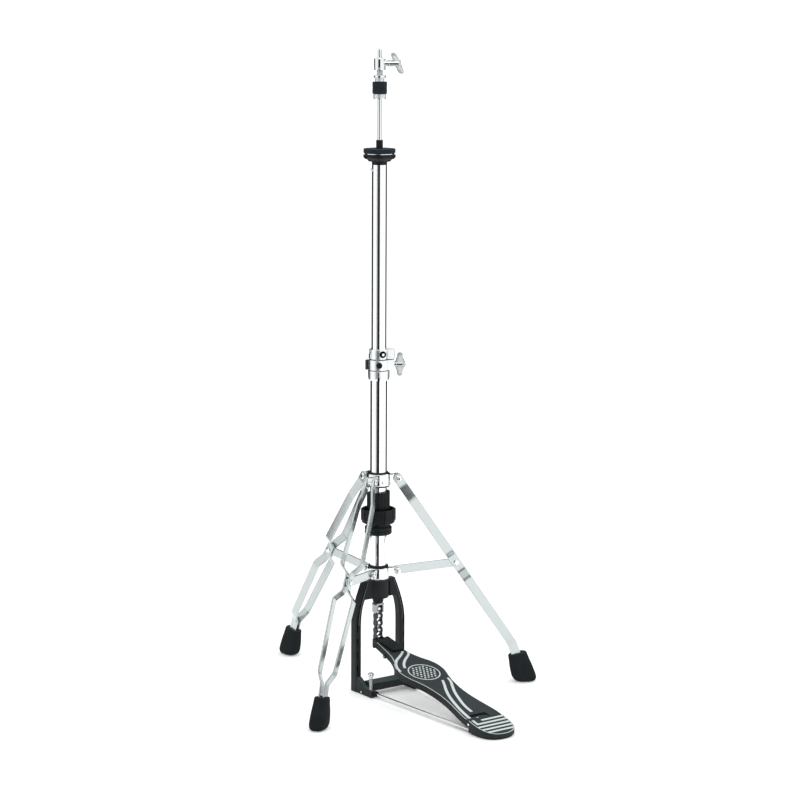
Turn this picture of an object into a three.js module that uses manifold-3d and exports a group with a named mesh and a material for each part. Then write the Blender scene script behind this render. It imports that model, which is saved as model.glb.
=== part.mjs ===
// Hi-hat stand: pedal, chain, pull rod and clutch on a height-adjustable tube,
// carried by a swivelling tripod of double-braced strip legs.
// Millimetres, +Z up, floor at z = 0. Lengths are laid out from the tube axis, with the
// drummer at -Y, and the whole stand is centred on its footprint at the end.
import * as THREE from 'three';
import { mergeVertices } from 'three/addons/utils/BufferGeometryUtils.js';
import Module from 'manifold-3d';

const wasm = await Module();
wasm.setup();

// ---------------------------------------------------------------- driving dimensions
const GAP = 0.3;                 // clearance between separate pieces
const TURN = 2 * Math.PI;
const ROUND = 24;                // sides of a large round piece
const SMALL = 12;                // sides of a bolt, pin or hole

const lowerTubeRadius = 14.3;
const lowerTubeBore = 13.1;
const upperTubeRadius = 12.7;
const upperTubeBore = 11.5;
const tubeBottom = 166;
const clampSeat = 557;           // top end of the lower tube
const upperTubeBottom = 500;
const upperTubeTop = 904.5;
const rodRadius = 3.5;
const rodTop = 1097;
const rodBottom = 146;

const bridgeTop = 192.7;
const bridgeBottom = 161;
const bossBottom = 150.5;
const uprightOuter = 51;
const uprightInner = 43;
const uprightDepth = 17;
const footFront = -53;

const pedalSlope = THREE.MathUtils.degToRad(12.2);
const hingeY = -303;
const hingeZ = 16;
const boardTop = 22;             // tread surface above the hinge
const boardLength = 300.5;
const boardSkirt = 11.5;
const heelEnd = -358;
const heelPadHeight = 3;

const chainPitch = 12.7;
const chainPinZ = 139.5;
const chainLinks = 5;

const legTurn = THREE.MathUtils.degToRad(2.9);   // how far the tripod is swivelled
const legNames = ['rear', 'left', 'right'];
const legAngles = [90, 210, 330].map((a) => THREE.MathUtils.degToRad(a) + legTurn);
const legTilt = THREE.MathUtils.degToRad(34.1);  // from the vertical
const footTilt = THREE.MathUtils.degToRad(20);
const legPivotRadius = 33.2;
const legPivotZ = 369;
const legKnee = 362;             // from the top pivot to the bend above the boot
const legMidPivot = 183;
const stripWidth = 16;
const stripThickness = 3;
const braceRadius = 32;
const braceZ = 207.5;
const bolt = 2.9;                // pivot bolt shank radius
const boltHole = 3.35;

const collarTop = 376;
const collarBottom = 355;
const lowerCollarTop = 213.7;
const lowerCollarBottom = 194;
const seatTop = 931.2;
const wingAngle = THREE.MathUtils.degToRad(-35); // the side that both wing screws point to

// ---------------------------------------------------------------- finishes
function finish(color, roughness, metalness) {
  return new THREE.MeshStandardMaterial({ color, roughness, metalness });
}
const chrome = () => finish(0xdfe3e6, 0.12, 1);
const satin = () => finish(0xb4bcba, 0.35, 1);
const castBlack = () => finish(0x26292b, 0.5, 0.2);
const plasticBlack = () => finish(0x1e2021, 0.45, 0);
const rubber = () => finish(0x1c2122, 0.8, 0);
const felt = () => finish(0x23262e, 0.95, 0);
const steelDark = () => finish(0x565b5d, 0.35, 1);

// ---------------------------------------------------------------- shape helpers
const stand = new THREE.Group();

function add(name, geometry, material, parent = stand) {
  const mesh = new THREE.Mesh(geometry, material);
  mesh.name = name;
  parent.add(mesh);
  return mesh;
}

function moved(geometry, x, y, z) {
  return geometry.clone().translate(x, y, z);
}

function toSolid(geometry) {
  const bare = geometry.clone();
  bare.deleteAttribute('normal');
  bare.deleteAttribute('uv');
  const merged = mergeVertices(bare, 1e-4);
  return new wasm.Manifold(new wasm.Mesh({
    numProp: 3,
    vertProperties: new Float32Array(merged.attributes.position.array),
    triVerts: new Uint32Array(merged.index.array),
  }));
}

function toGeometry(solid) {
  const mesh = solid.getMesh();
  const geometry = new THREE.BufferGeometry();
  geometry.setAttribute('position', new THREE.BufferAttribute(mesh.vertProperties, 3));
  geometry.setIndex(new THREE.BufferAttribute(mesh.triVerts, 1));
  return geometry;
}

function joined(first, ...others) {
  return toGeometry(others.reduce((sum, g) => sum.add(toSolid(g)), toSolid(first)));
}

function cut(first, ...others) {
  return toGeometry(others.reduce((rest, g) => rest.subtract(toSolid(g)), toSolid(first)));
}

function clipped(first, second) {
  return toGeometry(toSolid(first).intersect(toSolid(second)));
}

// A solid turned about the Z axis from a closed outline of [radius, z] points.
function turned(outline, segments = ROUND) {
  const points = outline.map(([radius, z]) => new THREE.Vector2(radius, z));
  if (outline[0][0] > 0) points.push(points[0].clone());
  return new THREE.LatheGeometry(points, segments).rotateX(Math.PI / 2);
}

function ring(inner, outer, bottom, top, segments = ROUND) {
  return turned([[inner, bottom], [outer, bottom], [outer, top], [inner, top]], segments);
}

function disc(radius, bottom, top, segments = ROUND) {
  return turned([[0, bottom], [radius, bottom], [radius, top], [0, top]], segments);
}

// A round bar along local X, from x = start to x = end.
function barX(radius, start, end, segments = SMALL) {
  return disc(radius, start, end, segments).rotateY(Math.PI / 2);
}

// A round bar along local Y.
function barY(radius, start, end, segments = SMALL) {
  return disc(radius, start, end, segments).rotateX(-Math.PI / 2);
}

function block(x0, x1, y0, y1, z0, z1) {
  const box = new THREE.BoxGeometry(x1 - x0, y1 - y0, z1 - z0);
  return box.translate((x0 + x1) / 2, (y0 + y1) / 2, (z0 + z1) / 2);
}

function shapeOf(points) {
  return new THREE.Shape(points.map(([a, b]) => new THREE.Vector2(a, b)));
}

function extruded(shape, depth, curveSegments = 4) {
  return new THREE.ExtrudeGeometry(shape, { depth, bevelEnabled: false, curveSegments });
}

// An outline in (x, z), pushed along Y and centred on y = 0.
function plateXZ(shape, depth, curveSegments = 4) {
  return extruded(shape, depth, curveSegments).rotateX(Math.PI / 2).translate(0, depth / 2, 0);
}

// An outline in (y, z), pushed along X from x = start.
function plateYZ(shape, start, width) {
  const turn = new THREE.Matrix4().set(0, 0, 1, 0, 1, 0, 0, 0, 0, 1, 0, 0, 0, 0, 0, 1);
  return extruded(shape, width).applyMatrix4(turn).translate(start, 0, 0);
}

// A flat link with round ends between a = 0 and a = length on the X axis.
function capsule(length, radius) {
  const shape = new THREE.Shape();
  shape.absarc(0, 0, radius, Math.PI / 2, 1.5 * Math.PI);
  shape.absarc(length, 0, radius, -Math.PI / 2, Math.PI / 2);
  return shape;
}

// The same round-ended outline standing along the second axis.
function capsuleZ(length, radius) {
  const shape = new THREE.Shape();
  shape.absarc(0, 0, radius, Math.PI, TURN);
  shape.absarc(0, length, radius, 0, Math.PI);
  return shape;
}

// Puts a piece that was made along +X on to a radial direction of the stand.
function aimed(mesh, angle, radius = 0, z = 0) {
  mesh.position.set(radius * Math.cos(angle), radius * Math.sin(angle), z);
  mesh.rotation.z = angle;
  return mesh;
}

// ---------------------------------------------------------------- yoke and base
function yokeOutline() {
  const archTop = 30;
  const shape = new THREE.Shape();
  shape.moveTo(-uprightOuter, 0);
  shape.lineTo(-uprightInner, 0);
  shape.lineTo(-uprightInner, 112);
  shape.quadraticCurveTo(-uprightInner, 140, -33, bridgeBottom);
  shape.lineTo(33, bridgeBottom);
  shape.quadraticCurveTo(uprightInner, 140, uprightInner, 112);
  shape.lineTo(uprightInner, 0);
  shape.lineTo(uprightOuter, 0);
  shape.lineTo(uprightOuter, 118);
  shape.quadraticCurveTo(uprightOuter - 1, 150, archTop, bridgeTop);
  shape.lineTo(-archTop, bridgeTop);
  shape.quadraticCurveTo(-uprightOuter + 1, 150, -uprightOuter, 118);
  return shape;
}

function sideFoot(x0, x1) {
  const back = uprightDepth / 2;
  const side = shapeOf([
    [back, 0], [back, 24], [-back - 6, 24], [footFront + 2, 15.5], [footFront, 13], [footFront, 0],
  ]);
  return plateYZ(side, x0, x1 - x0);
}

const spurX = 45.7;
const spurY = -44;
const rodHoleZ = 7.5;
const rodToeX = 43;             // the radius rods run from here in the feet
const rodHeelX = 31;            // to here in the heel plate
const wireRadius = 2.2;
const wireSocket = 3;            // how deep a radius rod sits in the foot

function baseBar() {
  const section = shapeOf([[-19, 9], [-19, 21.5], [-21, 23], [-41, 22], [-43, 20], [-43, 9]]);
  return plateYZ(section, -41, 82);
}

function frameCasting() {
  const socketRadius = 19.5;
  const body = joined(
    plateXZ(yokeOutline(), uprightDepth),
    sideFoot(-uprightOuter, -40),
    sideFoot(40, uprightOuter),
    baseBar(),
    disc(socketRadius, bridgeBottom, bridgeTop),
    disc(9, bossBottom, bridgeBottom + 1),
  );
  const holes = [
    disc(lowerTubeRadius + GAP, tubeBottom - GAP, bridgeTop + 1),
    disc(rodRadius + 0.8, bossBottom - 1, tubeBottom + 1, SMALL),
  ];
  for (const side of [-1, 1]) {
    const socket = barY(wireRadius + 0.4, footFront - 1, footFront + wireSocket + 1);
    holes.push(moved(disc(3.4, -1, 26, SMALL), side * spurX, spurY, 0));
    holes.push(moved(socket, side * rodToeX, 0, rodHoleZ));
  }
  return cut(body, ...holes);
}

add('frame_casting', frameCasting(), castBlack());

// Anchor screws in the two feet, drawn clear of the floor.
function spurScrew() {
  return turned([
    [0, 0.6], [3, 4.5], [3, 33], [4.2, 34], [5.8, 37], [5.4, 41], [3, 43], [0, 43],
  ], SMALL);
}
for (const [side, name] of [[-1, 'spur_screw_left'], [1, 'spur_screw_right']]) {
  add(name, spurScrew(), chrome()).position.set(side * spurX, spurY, 0);
}

// ---------------------------------------------------------------- heel plate and radius rods
const heelHalfWidth = 34.5;
const knuckle = 4.2;            // outer radius of the hinge
const pinHole = 2.6;
const knuckleRoom = knuckle + 0.6;

function heelOutline() {
  const shape = new THREE.Shape();
  const straight = -316;
  shape.moveTo(-heelHalfWidth, hingeY - GAP);
  shape.lineTo(-heelHalfWidth, straight);
  shape.bezierCurveTo(-heelHalfWidth, heelEnd + 14, -24, heelEnd, 0, heelEnd);
  shape.bezierCurveTo(24, heelEnd, heelHalfWidth, heelEnd + 14, heelHalfWidth, straight);
  shape.lineTo(heelHalfWidth, hingeY - GAP);
  return shape;
}

// A round bar on the pedal's hinge line.
function onHinge(radius, start, end) {
  return moved(barX(radius, start, end), 0, hingeY, hingeZ);
}

function heelPlate() {
  const front = hingeY - GAP;
  const back = heelEnd - 1;
  const side = shapeOf([[front, heelPadHeight], [front, boardTop], [back, 9.5], [back, heelPadHeight]]);
  const wedge = clipped(extruded(heelOutline(), 40, 6), plateYZ(side, -40, 80));
  const body = joined(wedge, onHinge(knuckle, -34, -18), onHinge(knuckle, 18, 34));
  const rodSocket = barY(wireRadius + 0.9, hingeY - 11, hingeY + 1);
  return cut(
    body,
    onHinge(knuckleRoom, -17.9, 17.9),
    onHinge(pinHole, -40, 40),
    moved(rodSocket, -rodHeelX, 0, rodHoleZ),
    moved(rodSocket, rodHeelX, 0, rodHoleZ),
  );
}
add('heel_plate', heelPlate(), castBlack());

function heelPad() {
  const inset = 0.9;
  const shape = heelOutline();
  return extruded(shape, heelPadHeight - GAP, 6).scale(inset, 1, 1)
    .translate(0, -hingeY, 0).scale(1, inset, 1).translate(0, hingeY - 3, 0);
}
add('heel_pad', heelPad(), rubber());

add('hinge_pin', onHinge(2.2, -34.8, 34.8), chrome());

// A straight wire from each foot to the heel plate keeps the pedal square.
for (const [side, name] of [[-1, 'radius_rod_left'], [1, 'radius_rod_right']]) {
  const toeY = footFront + wireSocket;
  const heelY = hingeY - 10;
  const slant = (side * (rodHeelX - rodToeX)) / (heelY - toeY);
  const wire = barY(wireRadius, heelY, toeY);
  const skew = new THREE.Matrix4().makeShear(0, 0, slant, 0, 0, 0);
  wire.applyMatrix4(skew).translate(side * rodToeX - slant * toeY, 0, rodHoleZ);
  add(name, wire, chrome());
}

// ---------------------------------------------------------------- footboard
// The board is drawn flat, with the hinge gap at s = 0, and tilted to the pedal slope.
const boardEdge = [
  [0, 34.5], [16, 34], [40, 30.5], [66, 26.7], [90, 25.3], [110, 26.5], [132, 30], [150, 35.5],
  [168, 40.8], [188, 41.5], [204, 37], [220, 28.5], [238, 21.5], [258, 17.8], [280, 15], [292, 13.5],
];

function boardOutline(inset, start, end) {
  const side = new THREE.SplineCurve(boardEdge.map(([s, half]) => new THREE.Vector2(half - inset, s)));
  const right = side.getPoints(22).filter((p) => p.y > start + 1 && p.y < end - 7);
  const nose = 13 - inset;
  const flank = right.map((p) => [p.x, p.y]);
  const outline = [[right[0].x, start], ...flank, [nose, end - 5], [nose - 4, end]];
  const mirrored = outline.map(([x, s]) => [-x, s]).reverse();
  return shapeOf([...outline, ...mirrored]);
}

// Tilts something drawn flat, with the hinge gap at y = 0, to lie on the sloping pedal.
function onSlope(geometry) {
  return geometry.clone().rotateX(pedalSlope).translate(0, hingeY, boardTop);
}

function footboard() {
  const wall = 3.5;
  const tread = 4;
  const plate = extruded(boardOutline(0, GAP, boardLength), boardSkirt);
  const hollow = extruded(boardOutline(wall, 12, boardLength - 40), boardSkirt);
  const shell = cut(moved(plate, 0, 0, -boardSkirt), moved(hollow, 0, 0, -boardSkirt - tread));
  const body = joined(onSlope(shell), onHinge(knuckle, -17.5, 17.5));
  const underHinge = block(-40, 40, hingeY - 12, hingeY + 1.6, 0, hingeZ - 3.4);
  const chainNotch = block(-8, 8, -14, 20, 60, 100);
  return cut(
    body,
    onHinge(knuckleRoom, 17.6, 40),
    onHinge(knuckleRoom, -40, -17.6),
    onHinge(pinHole, -40, 40),
    underHinge,
    chainNotch,
  );
}
add('footboard', footboard(), castBlack());

// A black saddle on the toe carries the last chain pin between two lugs.
const anchorPinZ = chainPinZ - chainLinks * chainPitch;

function chainAnchor() {
  const cheek = shapeOf([
    [-24, 83], [-24, 90], [-2, 88.5], [6, 82], [6, 71], [-4, 70.5], [-6.2, 74], [-8.7, 86.1],
  ]);
  const halfWide = 11.5;
  const slotHalf = 7.2;
  const saddle = onSlope(block(-halfWide, halfWide, 250, 291, GAP, GAP + 7));
  const lugs = [slotHalf, -halfWide].map((x) => plateYZ(cheek, x, halfWide - slotHalf));
  const body = cut(joined(saddle, ...lugs), block(-slotHalf, slotHalf, -16, 20, 60, 110));
  return joined(body, moved(barX(1.8, -9, 9), 0, 0, anchorPinZ));
}
add('chain_anchor', chainAnchor(), plasticBlack());

// ---------------------------------------------------------------- chain
// Each link is two side plates tied by two cross members, so that links stay separate pieces.
function chainLink(index) {
  const outer = index % 2 === 1;
  const x = outer ? 5.1 : 3.4;
  const thickness = 1.4;
  const plate = plateYZ(capsuleZ(chainPitch, 5.4), -thickness / 2, thickness);
  const parts = [moved(plate, x, 0, 0), moved(plate, -x, 0, 0)];
  const crossRadius = outer ? 1.8 : 3.9;
  for (const z of [0, chainPitch]) {
    parts.push(moved(barX(crossRadius, -x, x), 0, 0, z));
  }
  const link = joined(...parts);
  if (outer) return link;
  const pinBore = barX(2.7, -8, 8);
  return cut(link, pinBore, moved(pinBore, 0, 0, chainPitch));
}

for (let i = 0; i < chainLinks; i += 1) {
  const link = add(`chain_link_${i + 1}`, chainLink(i), i % 2 ? steelDark() : chrome());
  link.position.z = chainPinZ - (i + 1) * chainPitch;
}

function chainClevis() {
  const cheek = (x0, x1) => block(x0, x1, -6.5, 6.5, 132.4, 147);
  const body = joined(
    cheek(5.2, 8),
    cheek(-8, -5.2),
    block(-8, 8, -6.5, 6.5, 145.8, bossBottom - GAP),
    moved(barX(1.8, -7, 7), 0, 0, chainPinZ),
  );
  return cut(body, disc(rodRadius + GAP, 145, 152, SMALL));
}
add('chain_clevis', chainClevis(), satin());

// ---------------------------------------------------------------- pull rod and return spring
const springBottom = 286.4;
const springTop = 342;

function pullRod() {
  const cup = 9;
  return turned([
    [0, rodBottom], [rodRadius, rodBottom], [rodRadius, springTop + GAP], [cup, springTop + GAP],
    [cup, springTop + 4], [rodRadius, springTop + 4], [rodRadius, rodTop - 1.5],
    [rodRadius - 1.2, rodTop], [0, rodTop],
  ], SMALL);
}
add('pull_rod', pullRod(), chrome());

class Helix extends THREE.Curve {
  constructor(radius, bottom, top, turns) {
    super();
    Object.assign(this, { radius, bottom, top, turns });
  }

  getPoint(t) {
    const angle = TURN * this.turns * t;
    const z = this.bottom + (this.top - this.bottom) * t;
    return new THREE.Vector3(this.radius * Math.cos(angle), this.radius * Math.sin(angle), z);
  }
}

function returnSpring() {
  const wire = 1;
  const section = new THREE.Shape().absarc(0, 0, wire, 0, TURN);
  const path = new Helix(7.6, springBottom + wire + 0.2, springTop - wire - 0.2, 7);
  return new THREE.ExtrudeGeometry(section, { extrudePath: path, steps: 56, curveSegments: 2 });
}
add('return_spring', returnSpring(), steelDark());
const springSeat = ring(rodRadius + 0.8, lowerTubeBore - GAP, springBottom - 4, springBottom - GAP);
add('spring_seat', springSeat, steelDark());

// ---------------------------------------------------------------- tubes
add('lower_tube', ring(lowerTubeBore, lowerTubeRadius, tubeBottom, clampSeat), chrome());
add('upper_tube', ring(upperTubeBore, upperTubeRadius, upperTubeBottom, upperTubeTop), chrome());

// ---------------------------------------------------------------- spring tension unit
const onTube = lowerTubeRadius + GAP;

function toothedOutline(inner, outer, teeth, share) {
  const points = [];
  for (let i = 0; i < teeth; i += 1) {
    const tooth = [[inner, 0], [inner, 0.94 - share], [outer, 1 - share], [outer, 0.94]];
    for (const [radius, at] of tooth) {
      const angle = ((i + at) / teeth) * TURN;
      points.push([radius * Math.cos(angle), radius * Math.sin(angle)]);
    }
  }
  return shapeOf(points);
}

function tensionBarrel() {
  const body = moved(extruded(toothedOutline(18.6, 19.8, 14, 0.5), 35), 0, 0, 312.3);
  return cut(body, disc(onTube, 300, 360));
}

function tensionKnob() {
  const body = moved(extruded(toothedOutline(28.6, 30.2, 9, 0.8), 24.4), 0, 0, 292.5);
  return cut(body, disc(onTube, 280, 330), disc(24.5, 312, 330));
}

add('tension_barrel', tensionBarrel(), plasticBlack());
add('tension_knob', tensionKnob(), plasticBlack());
add('tension_flange', turned([
  [onTube, 272.5], [22, 272.5], [23.3, 274], [23.3, 278.6], [22.3, 279.4], [23.3, 280.2],
  [23.3, 284.6], [22, 286], [19.5, 286], [19.5, 292.2], [onTube, 292.2],
]), plasticBlack());

// ---------------------------------------------------------------- tripod collars
function upperCollar() {
  const outer = 20.5;
  const parts = [ring(onTube, outer, collarBottom, collarTop)];
  for (const angle of legAngles) {
    const ear = plateXZ(capsule(legPivotRadius - 17, 7), 9).translate(17, 0, legPivotZ);
    parts.push(ear.rotateZ(angle));
  }
  const hole = moved(barY(boltHole, -8, 8), legPivotRadius, 0, legPivotZ);
  const holes = legAngles.map((angle) => hole.clone().rotateZ(angle));
  return cut(joined(...parts), disc(onTube, 340, 390), ...holes);
}
add('upper_collar', upperCollar(), chrome());
add('upper_collar_bush', turned([
  [onTube, collarTop + GAP], [17.6, collarTop + GAP], [17.6, collarTop + 3.4], [16.8, collarTop + 5],
  [onTube, collarTop + 5],
]), plasticBlack());

function lowerCollar() {
  const parts = [ring(onTube, 18.7, lowerCollarBottom, lowerCollarTop)];
  const cheek = 2.6;
  for (const angle of legAngles) {
    for (const offset of [1.9 + cheek / 2, -1.9 - cheek / 2]) {
      const plate = plateXZ(capsule(braceRadius - 16, 7.4), cheek).translate(16, offset, braceZ - 2.5);
      parts.push(plate.rotateZ(angle));
    }
  }
  const hole = moved(barY(boltHole, -8, 8), braceRadius, 0, braceZ);
  const holes = legAngles.map((angle) => hole.clone().rotateZ(angle));
  return cut(joined(...parts), disc(onTube, 180, 230), ...holes);
}
add('lower_collar', lowerCollar(), chrome());
add('lower_collar_bush', turned([
  [onTube, lowerCollarTop + GAP], [17.5, lowerCollarTop + GAP], [17.5, lowerCollarTop + 3.2],
  [16.8, lowerCollarTop + 4.4], [onTube, lowerCollarTop + 4.4],
]), plasticBlack());

// ---------------------------------------------------------------- legs
// A strip's half-gap along the leg: it bows out, closes on the brace, bows out and closes
// again in the boot. Each pair is [distance from the top pivot, offset of its mid-plane].
const stripBow = [
  [-9, 6.4], [14, 6.4], [43, 13], [153, 18], [168, 3.6], [199, 3.6], [214, 17.5], [343, 13.5],
  [legKnee, 4], [legKnee + 34, 4],
];

// Distance along the leg and offset across it become the strip's bent centre line, widened
// across the leg plane and tilted upright below the knee.
function legStrip(side) {
  const half = stripThickness / 2;
  const edge = (shift) => stripBow.map(([s, offset]) => [s, side * (offset + shift)]);
  const profile = [...edge(-half), ...edge(half).reverse()];
  const strip = extruded(shapeOf(profile), stripWidth).translate(0, 0, -stripWidth / 2);
  const outline = plateXZ(capsule(legKnee + 60, stripWidth / 2), 80);
  const rounded = clipped(strip, outline);
  const holed = cut(rounded, barY(boltHole, -20, 20));
  return bentAtKnee(holed);
}

function bentAtKnee(geometry) {
  const position = geometry.attributes.position;
  const bend = legTilt - footTilt;
  for (let i = 0; i < position.count; i += 1) {
    const past = position.getX(i) - legKnee;
    if (past > 0) {
      const across = position.getZ(i);
      position.setX(i, legKnee + past * Math.cos(bend) + across * Math.sin(bend));
      position.setZ(i, across * Math.cos(bend) - past * Math.sin(bend));
    }
  }
  return geometry;
}

// A rubber boot: a tapered round foot, narrower across the leg than along it.
function boot() {
  const taper = [
    [0, 0], [9, 0.6], [17, 3], [22.5, 7.5], [24, 12], [20.5, 28], [13.2, 53], [12.2, 55], [0, 55],
  ];
  const body = turned(taper, 16).scale(1, 0.7, 1);
  const lean = new THREE.Matrix4().makeShear(0, 0, 0, 0, -Math.tan(footTilt), 0);
  const footRadius = legPivotRadius + legKnee * Math.sin(legTilt)
    + (legPivotZ - legKnee * Math.cos(legTilt)) * Math.tan(footTilt);
  body.applyMatrix4(lean).translate(footRadius, 0, 0);
  return body;
}

// Places leg-plane geometry (X down the leg, Y across, Z outward) in the stand's XZ plane.
function ontoLeg(geometry) {
  const down = new THREE.Vector3(Math.sin(legTilt), 0, -Math.cos(legTilt));
  const out = new THREE.Vector3(Math.cos(legTilt), 0, Math.sin(legTilt));
  const frame = new THREE.Matrix4().makeBasis(down, new THREE.Vector3(0, 1, 0), out);
  frame.setPosition(legPivotRadius, 0, legPivotZ);
  return geometry.clone().applyMatrix4(frame);
}

// The boot is slotted a little wider than the two strips that it is pushed on to.
function bootWithSlots() {
  const stripEnd = legKnee + 34 + 2 * GAP;
  const halfWide = stripWidth / 2 + GAP;
  const halfThick = stripThickness / 2 + GAP;
  const slots = [4, -4].map((y) => {
    const slot = block(legKnee, stripEnd, y - halfThick, y + halfThick, -halfWide, halfWide);
    return ontoLeg(bentAtKnee(slot));
  });
  return cut(boot(), ...slots);
}

// A pivot bolt along Y with a round head outside each plate.
function pivotBolt(halfLength, head) {
  const end = halfLength + 3;
  return turned([
    [0, -end], [head - 1, -end], [head, 1 - end], [head, -halfLength], [bolt, -halfLength],
    [bolt, halfLength], [head, halfLength], [head, end - 1], [head - 1, end], [0, end],
  ], SMALL).rotateX(-Math.PI / 2);
}

const braceReach = legPivotRadius + legMidPivot * Math.sin(legTilt) - braceRadius;
const braceRise = legPivotZ - legMidPivot * Math.cos(legTilt) - braceZ;
const braceLength = Math.hypot(braceReach, braceRise);
const braceTilt = Math.atan2(braceRise, braceReach);

function brace() {
  const flat = plateXZ(capsule(braceLength, 7.6), stripThickness);
  const holed = cut(flat, barY(boltHole, -5, 5));
  return holed.rotateY(-braceTilt);
}

legNames.forEach((name, i) => {
  const leg = new THREE.Group();
  leg.rotation.z = legAngles[i];
  stand.add(leg);
  const strips = [1, -1].map((side) => ontoLeg(legStrip(side)));
  add(`leg_strip_${name}_a`, strips[0], satin(), leg);
  add(`leg_strip_${name}_b`, strips[1], satin(), leg);
  add(`boot_${name}`, bootWithSlots(), rubber(), leg);
  const legBolt = add(`leg_bolt_${name}`, pivotBolt(8.2, 5.4), chrome(), leg);
  legBolt.position.set(legPivotRadius, 0, legPivotZ);
  const braceBolt = add(`brace_bolt_${name}`, pivotBolt(4.8, 5), chrome(), leg);
  braceBolt.position.set(braceRadius, 0, braceZ);
  add(`brace_${name}`, brace(), satin(), leg).position.set(braceRadius, 0, braceZ);
});

// ---------------------------------------------------------------- height clamp and memory lock
const clampTop = 575;
const clampBottom = 539.5;
const clampBoltZ = 567;

function wingScrew(start, end, span, sweep) {
  const hub = barX(5.4, start, end);
  const wing = new THREE.Shape();
  wing.moveTo(start + 1, 0);
  wing.bezierCurveTo(start + 1, span * 0.3, start + sweep, span * 0.35, start + sweep, span * 0.46);
  wing.absarc(start + sweep + 5, span * 0.42, 4.5, Math.PI, 0, true);
  wing.bezierCurveTo(start + sweep + 9.5, span * 0.2, end - 2, span * 0.2, end - 2, 0);
  const upper = plateXZ(wing, 4.6, 3);
  const lower = upper.clone().rotateX(Math.PI);
  return [hub, upper, lower];
}

function tubeClamp() {
  const grip = upperTubeRadius + GAP;
  const body = turned([
    [onTube, clampBottom], [17, clampBottom], [18.2, clampBottom + 2], [18.2, clampSeat - 1],
    [17.6, clampSeat], [17.6, clampTop], [grip, clampTop], [grip, clampSeat + GAP],
    [onTube, clampSeat + GAP],
  ]);
  const lug = block(15, 26, -8, 8, 558, clampTop - 1).rotateZ(wingAngle);
  const barrel = moved(disc(3.6, 557, clampTop, SMALL), -19.5, 0, 0).rotateZ(wingAngle);
  const slit = block(grip - 2, 30, -2.9, 2.9, 550, 580).rotateZ(wingAngle);
  return cut(joined(body, lug, barrel), disc(grip, 557.1, 580), slit);
}
add('tube_clamp', tubeClamp(), chrome());

const clampBolt = joined(barX(2.5, 17.5, 46), moved(disc(4.4, -6, 6, SMALL), 20.4, 0, 0));
const boltEye = clipped(clampBolt, block(0, 60, -2.6, 2.6, -7, 7));
aimed(add('clamp_bolt', boltEye, chrome()), wingAngle, 0, clampBoltZ);

const [clampHub, clampWingUp, clampWingDown] = wingScrew(27, 44.5, 45, 4);
const clampNut = cut(joined(clampHub, clampWingUp, clampWingDown), barX(2.9, 20, 50));
aimed(add('clamp_wing_nut', clampNut, chrome()), wingAngle, 0, clampBoltZ);

function memoryLock() {
  const grip = upperTubeRadius + GAP;
  const bottom = clampTop + GAP;
  const top = 593;
  const ear = block(14, 27.5, -6, 6, bottom + 1, top - 1).rotateZ(wingAngle);
  const slit = block(grip - 2, 30, -1, 1, 570, 600).rotateZ(wingAngle);
  return cut(joined(ring(grip, 16.4, bottom, top), ear), disc(grip, 570, 600), slit);
}
add('memory_lock', memoryLock(), chrome());

// ---------------------------------------------------------------- cymbal seat
const sleeveRadius = 5.75;
const sleeveTop = 945.5;

add('seat_cup', turned([
  [rodRadius + 0.9, 888], [upperTubeBore - GAP, 888], [upperTubeBore - GAP, upperTubeTop + GAP],
  [12.7, upperTubeTop + GAP], [12.7, 910], [19, 910.2], [20.5, 913], [24.5, 914.5], [27.3, 917],
  [27.3, 921], [sleeveRadius, 921], [sleeveRadius, sleeveTop], [rodRadius + 0.9, sleeveTop],
]), plasticBlack());
add('seat_washer', ring(sleeveRadius + GAP, 25, 921.3, 923.6), chrome());
add('seat_felt', turned([
  [sleeveRadius + GAP, 923.9], [26.2, 923.9], [27, 925], [27, 929.6], [25.6, seatTop],
  [sleeveRadius + GAP, seatTop],
]), felt());

// ---------------------------------------------------------------- clutch
const clutchBore = rodRadius + GAP;
const threadRadius = 5;
const onThread = threadRadius + GAP;
const clutchScrewZ = 1072.5;

function clutchBody() {
  const body = turned([
    [clutchBore, 1081.5], [clutchBore, 1066.3], [onThread, 1066.3], [onThread, 1061], [8.6, 1061],
    [9.5, 1062], [9.5, 1080.5], [8.6, 1081.5],
  ], 16);
  const screwHole = moved(barX(2.9, 0, 12), 0, 0, clutchScrewZ).rotateZ(wingAngle);
  return cut(body, screwHole);
}
add('clutch_body', clutchBody(), chrome());

const [clutchHub, clutchWingUp, clutchWingDown] = wingScrew(13, 31, 41, 3);
const clutchShank = barX(2.5, 4.4, 14);
const clutchShoulder = barX(4.4, 10.4, 14);
const clutchScrew = joined(clutchHub, clutchWingUp, clutchWingDown, clutchShank, clutchShoulder);
aimed(add('clutch_wing_screw', clutchScrew.rotateX(0.6), chrome()), wingAngle, 0, clutchScrewZ);

add('clutch_tube', ring(clutchBore, threadRadius, 1014.5, 1066, 16), chrome());
add('clutch_lock_nut', turned([
  [onThread, 1042.2], [7.6, 1042.2], [7.6, 1047.5], [10, 1048.5], [10, 1052.7], [onThread, 1052.7],
], 16), chrome());
add('clutch_felt_upper', ring(onThread, 12.3, 1032.1, 1041.9, 16), felt());
add('clutch_felt_lower', ring(onThread, 12.3, 1022, 1031.8, 16), felt());
add('clutch_bottom_nut', turned([
  [onThread, 1013.4], [10, 1013.4], [10.8, 1014.6], [10.8, 1021.7], [onThread, 1021.7],
], 16), chrome());

// ---------------------------------------------------------------- footprint centred on the origin
stand.updateMatrixWorld(true);
const box = new THREE.Box3().setFromObject(stand);
stand.position.set(-(box.min.x + box.max.x) / 2, -(box.min.y + box.max.y) / 2, 0);
stand.updateMatrixWorld(true);

export default stand;
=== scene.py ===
from math import asin, atan2, ceil, copysign, cos, degrees, dist, hypot, pi, sin, sqrt, tan
from math import radians as deg

import bmesh
import bpy
from mathutils import Matrix, Vector


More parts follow.
